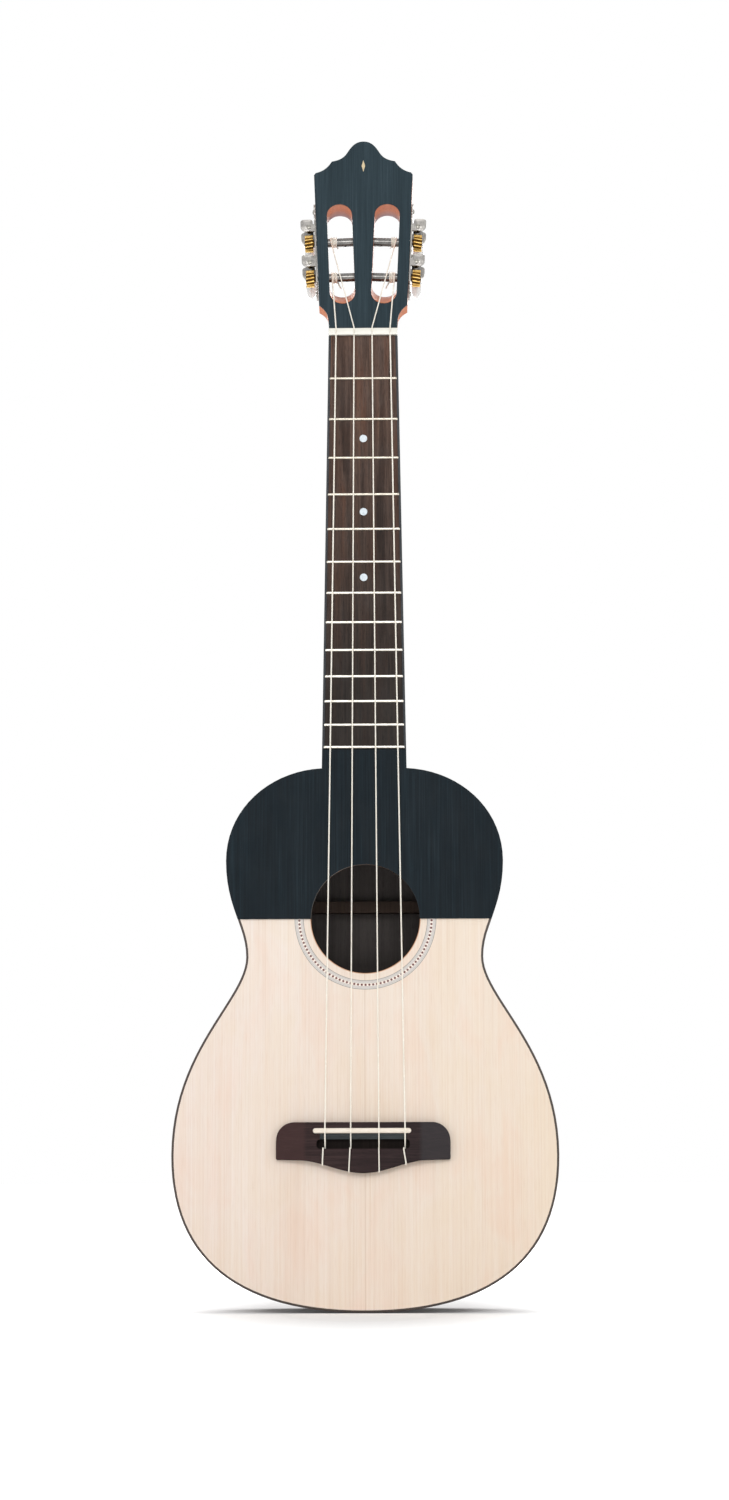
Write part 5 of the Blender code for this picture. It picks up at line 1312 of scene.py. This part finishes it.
def makeTunerPlate(look, side):
    name = "Treble" if side > 0 else "Bass"
    place = headPlace @ sideLocal(side)
    mesh = flatMesh([plateOutline(look)], look["thickness"], 0.2)
    mesh.transform(Matrix.Translation((side * (seat + look["thickness"] / 2), 0, 0)) @ across)
    ears, bores = [], []
    for row in (0, 1):
        centreV = row * rollerSpacing + wormV
        for front, back, outward in look["ears"]:
            ears.append(earMesh(look, side, centreV, front, back, outward))
            ears.append(tabMesh(look, side, centreV, front, back))
        for radius, far, axis, centre in ((look["wormBore"], 19, "y", (wormU, 0, centreV)),
                                          (look["rollerBore"], 2.5, "x", (0, rollerDepth, row * rollerSpacing))):
            bores.append(loftMesh(turnedRings([(-1, radius), (far, radius)], 24, axis, centre), side < 0))
    mesh = carve(carve(mesh, ears, "UNION"), bores)
    newPiece("machinePlate" + name, mesh, "nickel", ["tuner_plate_" + name.lower()], place=place, softness=30)
    for count, v in enumerate(look["screws"]):
        screw = screwMesh(side, 1.5, 1.75, 0.85, rollerDepth, v, 25 + 50 * count)
        newPiece(f"plateScrew{name}{count + 1}", screw, "screw", place=place)


# a domed head with a driver's slot turned by angle
def screwMesh(side, base, radius, height, w, v, angle):
    profile = [(base - 0.3, radius * 0.9), (base, radius), (base + height * 0.35, radius * 0.97),
               (base + height * 0.75, radius * 0.75), (base + height, radius * 0.3)]
    mesh = loftMesh(turnedRings(profile, 28, "x"))
    long, wide = radius * 1.2, radius * 0.16
    slot = boxMesh((base + height * 0.45, -long, -wide), (base + height * 2, long, wide))
    slot.transform(Matrix.Rotation(math.radians(angle), 4, "X"))
    mesh = carve(mesh, [slot])
    mesh.transform(Matrix.Diagonal((side, 1, 1, 1)) @ Matrix.Translation((0, w, v)))
    if side < 0:
        mesh.flip_normals()
    return mesh


gearShape = {"teeth": 14, "tip": 6.1, "root": 4.6, "tipWidth": 0.75, "rootWidth": 1.3, "low": 2.7,
             "high": 8.5, "chamfer": 0.35, "pitchRadius": 5.5, "wormPitchRadius": 2.8}
gearPitch = 2 * math.pi * gearShape["pitchRadius"] / gearShape["teeth"]


def gearMesh(look, side):
    lead = gearPitch / (2 * math.pi * look["wormPitchRadius"] * look["pitchRadius"])
    low, high, chamfer = look["low"], look["high"], look["chamfer"]
    rings = []
    for u, ease in ((low, chamfer), (low + chamfer, 0), (wormU, 0), (high - chamfer, 0), (high, chamfer)):
        twist = (u - wormU) * lead
        ring = []
        for tooth in range(look["teeth"]):
            middle = 2 * math.pi * (tooth + 0.5) / look["teeth"]
            root, tip = look["rootWidth"] / 2 / look["root"], look["tipWidth"] / 2 / look["tip"]
            gap = math.pi / look["teeth"]
            for offset, radius in ((-gap * 0.86, look["root"]), (-root, look["root"] + 0.12),
                                   (-tip * 1.2, look["tip"] - 0.12 - ease), (-tip * 0.6, look["tip"] - ease),
                                   (tip * 0.6, look["tip"] - ease), (tip * 1.2, look["tip"] - 0.12 - ease),
                                   (root, look["root"] + 0.12), (gap * 0.86, look["root"])):
                angle = middle + offset - twist
                ring.append((u, radius * math.sin(angle), radius * math.cos(angle)))
        rings.append(ring)
    hub = turnedRings([(1.8, 2.8), (2.0, 3.0), (8.6, 3.0), (8.75, 2.85)], 32)
    return carve(loftMesh(rings, side < 0), [loftMesh(hub, side < 0)], "UNION")


wormShape = {"root": 2.15, "tip": 3.45, "journal": 1.5, "frontEnd": 1.4, "count": 28, "perPitch": 14}


def wormMesh(look, side):
    count, half = look["count"], 1.5 * gearPitch
    turns = [2 * math.pi * i / count for i in range(count)]
    rings = []

    def ring(w, radii):
        rings.append([(r * math.sin(t), w, r * math.cos(t)) for r, t in zip(radii, turns)])

    root, thin, thinner = look["root"], look["journal"], look["frontEnd"]
    for w, radius in ((0.6, thinner), (2.7, thinner), (2.7, root)):
        ring(w, [radius] * count)
    steps = 3 * look["perPitch"]
    for i in range(steps + 1):
        w = rollerDepth - half + gearPitch * i / look["perPitch"]
        fade = min(1, (half - abs(w - rollerDepth)) / (gearPitch / 2))
        radii = []
        for j in range(count):
            crest = 1 + math.cos(2 * math.pi * ((w - rollerDepth) / gearPitch - j / count + 0.5))
            radii.append(root + fade * (look["tip"] - root) / 2 * crest)
        ring(w, radii)
    for w, radius in ((15.3, root), (15.3, thin), (22, thin)):
        ring(w, [radius] * count)
    return loftMesh(rings, side < 0)


rollerShape = {"radius": 3.15, "inner": -30.5, "shoulder": -0.8, "spigot": 1.6, "end": 6.8}


def rollerMesh(look, side):
    r, inner, shoulder, spigot = look["radius"], look["inner"], look["shoulder"], look["spigot"]
    profile = [(inner, r - 0.4), (inner + 0.4, r), (shoulder - 0.3, r), (shoulder, r - 0.3),
               (shoulder, spigot), (look["end"], spigot)]
    mesh = loftMesh(turnedRings(profile, 40), side < 0)
    hole = turnedRings([(-5, 0.75), (5, 0.75)], 16, "z", (-(slotShape["wall"] + 12.5), 0, 0))
    return carve(mesh, [loftMesh(hole, side < 0)])


# polished dome that closes the front ear
def capMesh(side):
    profile = [(1.0, 1.5), (0.1, 1.75), (-0.2, 1.7), (-0.45, 1.4), (-0.62, 0.8), (-0.68, 0.25)]
    return loftMesh(turnedRings(profile, 36, "y"), side < 0)


# pearl button: a flattened oval on a round neck
buttonShape = {"start": 18.4, "length": 25.0, "halfV": 7.6, "halfU": 4.3,
               "form": ((0.0, 0.42, 0.62), (0.03, 0.46, 0.66), (0.1, 0.44, 0.63), (0.17, 0.56, 0.74),
                        (0.3, 0.88, 0.92), (0.48, 1.03, 1.02), (0.68, 1.04, 1.04), (0.85, 0.95, 0.97),
                        (0.96, 0.72, 0.78), (1.0, 0.4, 0.45))}


def buttonMesh(look, side):
    rings = []
    for share, wide, deep in look["form"]:
        w = look["start"] + share * look["length"]
        ring = []
        for i in range(16):
            t = 2 * math.pi * i / 16
            ring.append((look["halfU"] * deep * math.sin(t), w, look["halfV"] * wide * math.cos(t)))
        rings.append(ring)
    return loftMesh(rings, side < 0)


def ferruleMesh(side):
    profile = [(17.3, 2.2), (17.45, 2.7), (17.8, 2.9), (18.6, 2.9), (18.9, 2.6)]
    return loftMesh(turnedRings(profile, 32, "y"), side < 0)


def makeTuners():
    for side in (1, -1):
        makeTunerPlate(plateShape, side)
    for number, string in strings.items():
        side, v = string["side"], string["row"] * rollerSpacing
        toWorld = headPlace @ sideLocal(side)
        rollerPlace = toWorld @ Matrix.Translation((0, rollerDepth, v))
        wormPlace = toWorld @ Matrix.Translation((side * wormU, 0, v + wormV))
        key, post = f"key_{number}", f"post_{number}"
        newPiece(f"roller{number}", rollerMesh(rollerShape, side), "blackSteel", [f"roller_{number}"], post,
                 rollerPlace)
        newPiece(f"wormWheel{number}", gearMesh(gearShape, side), "brass", [f"gear_{number}"], post,
                 rollerPlace, softness=24)
        screw = screwMesh(side, 8.6, 2.2, 0.6, 0, 0, 15 + 40 * number)
        newPiece(f"wheelScrew{number}", screw, "screw", (), post, rollerPlace)
        newPiece(f"wormShaft{number}", wormMesh(wormShape, side), "blackSteel", [f"worm_{number}"], key,
                 wormPlace, softness=50)
        newPiece(f"shaftCap{number}", capMesh(side), "screw", (), key, wormPlace)
        newPiece(f"ferrule{number}", ferruleMesh(side), "nickel", (), key, wormPlace)
        newPiece(f"pearlButton{number}", buttonMesh(buttonShape, side), "pearl", [f"button_{number}"], key,
                 wormPlace, rounds=2)
    print("tuning machines made")


makeTuners()

# stage: pale floor under the tail, white behind, soft light
stageLook = {"floorHalf": 60000, "nearBoost": 0.04, "farBoost": 0.85, "near": 70, "far": 190,
             "depthScale": 0.3, "shadowBehind": 120, "ambient": 0.4}


# 1 for the rays that show the stage: to the camera, in a reflection or through something clear
def seenDirectly(tree):
    rays = addNode(tree, "LightPath").outputs
    share = rays["Is Camera Ray"]
    for kind in ("Is Glossy Ray", "Is Transmission Ray"):
        share = maths(tree, "MAXIMUM", share, rays[kind])
    return share


# white matt floor that keeps the shadow near the tail and turns plain white further out
def makeFloor(look):
    half = look["floorHalf"] * mm
    mesh = bpy.data.meshes.new("floor")
    corners = [(-half, -half), (half, -half), (half, half), (-half, half)]
    mesh.from_pydata([(x, y, tailZ * mm - 0.0004) for x, y in corners], [], [(0, 1, 2, 3)])
    made, tree, shader = startMaterial("pale_floor_matt", {"Roughness": 0.9, "Specular IOR Level": 0.1})
    shader.inputs["Base Color"].default_value = hexColour("#f4f4f4")
    place = addNode(tree, "TexCoord").outputs["Object"]
    fit = addNode(tree, "Mapping", {"Scale": (1, look["depthScale"], 1)}, {"Vector": place}).outputs[0]
    centre = (0, look["shadowBehind"] * look["depthScale"] * mm, tailZ * mm)
    away = addNode(tree, "VectorMath", {1: centre}, {0: fit}, operation="DISTANCE").outputs[1]
    boost = spread(tree, away, look["near"] * mm, look["far"] * mm, look["nearBoost"], look["farBoost"])
    seen = addNode(tree, "Emission", {"Color": hexColour("#ffffff")}, {"Strength": boost})
    both = addNode(tree, "AddShader", links={0: shader.outputs[0], 1: seen.outputs[0]})
    choice = addNode(tree, "MixShader",
                     links={0: seenDirectly(tree), 1: shader.outputs[0], 2: both.outputs[0]})
    tree.links.new(choice.outputs[0], tree.nodes["Material Output"].inputs[0])
    mesh.materials.append(made)
    linked("floor", mesh)


def makeStage(look):
    makeFloor(look)

    world = bpy.data.worlds.new("studio")
    bpy.context.scene.world = world
    world.use_nodes = True
    tree = world.node_tree
    background = tree.nodes["Background"]
    background.inputs["Color"].default_value = hexColour("#ffffff")
    strength = spread(tree, seenDirectly(tree), 0, 1, look["ambient"], 1.0)
    tree.links.new(strength, background.inputs["Strength"])


makeStage(stageLook)


def addLight(name, place, aim, size, power):
    light = bpy.data.lights.new(name, "AREA")
    light.size = size
    light.energy = power
    holder = linked(name, light)
    holder.visible_camera = False
    holder.location = place
    holder.rotation_euler = (Vector(aim) - Vector(place)).to_track_quat("-Z", "Y").to_euler()


bodyMiddle = (0, 0, -0.35)
addLight("frontSoft", (0, -2.7, 0.75), bodyMiddle, 1.1, 26)
addLight("leftSoft", (-2.3, -1.2, 0.3), bodyMiddle, 1.8, 17)
addLight("rightSoft", (2.3, -1.2, 0.3), bodyMiddle, 1.8, 17)
addLight("backSoft", (0, 1.6, 0.35), (0, 0, -0.65), 1.0, 22)
addLight("topSoft", (0, 0, 2.1), bodyMiddle, 1.4, 8)

# camera: placed from the photograph's perspective
cameraLook = {"place": (0.029, -2.13919, -0.60765), "yaw": 0.01344, "pitch": 0.13708, "roll": -0.00249,
              "lens": 74.70}


def makeCamera(look):
    yaw, pitch, roll = look["yaw"], look["pitch"], look["roll"]
    right = Vector((math.cos(yaw), math.sin(yaw), 0))
    ahead = Vector((-math.sin(yaw), math.cos(yaw), 0))
    forward = ahead * math.cos(pitch) + Vector((0, 0, math.sin(pitch)))
    upright = Vector((0, 0, math.cos(pitch))) - ahead * math.sin(pitch)
    level = right * math.cos(roll) + upright * math.sin(roll)
    up = upright * math.cos(roll) - right * math.sin(roll)
    data = bpy.data.cameras.new("photoCamera")
    data.lens = look["lens"]
    data.sensor_width = 36
    camera = linked("photoCamera", data)
    turn = Matrix((level, up, -forward)).transposed().to_4x4()
    camera.matrix_world = Matrix.Translation(look["place"]) @ turn
    bpy.context.scene.camera = camera


makeCamera(cameraLook)
bpy.context.scene.view_settings.view_transform = "Standard"
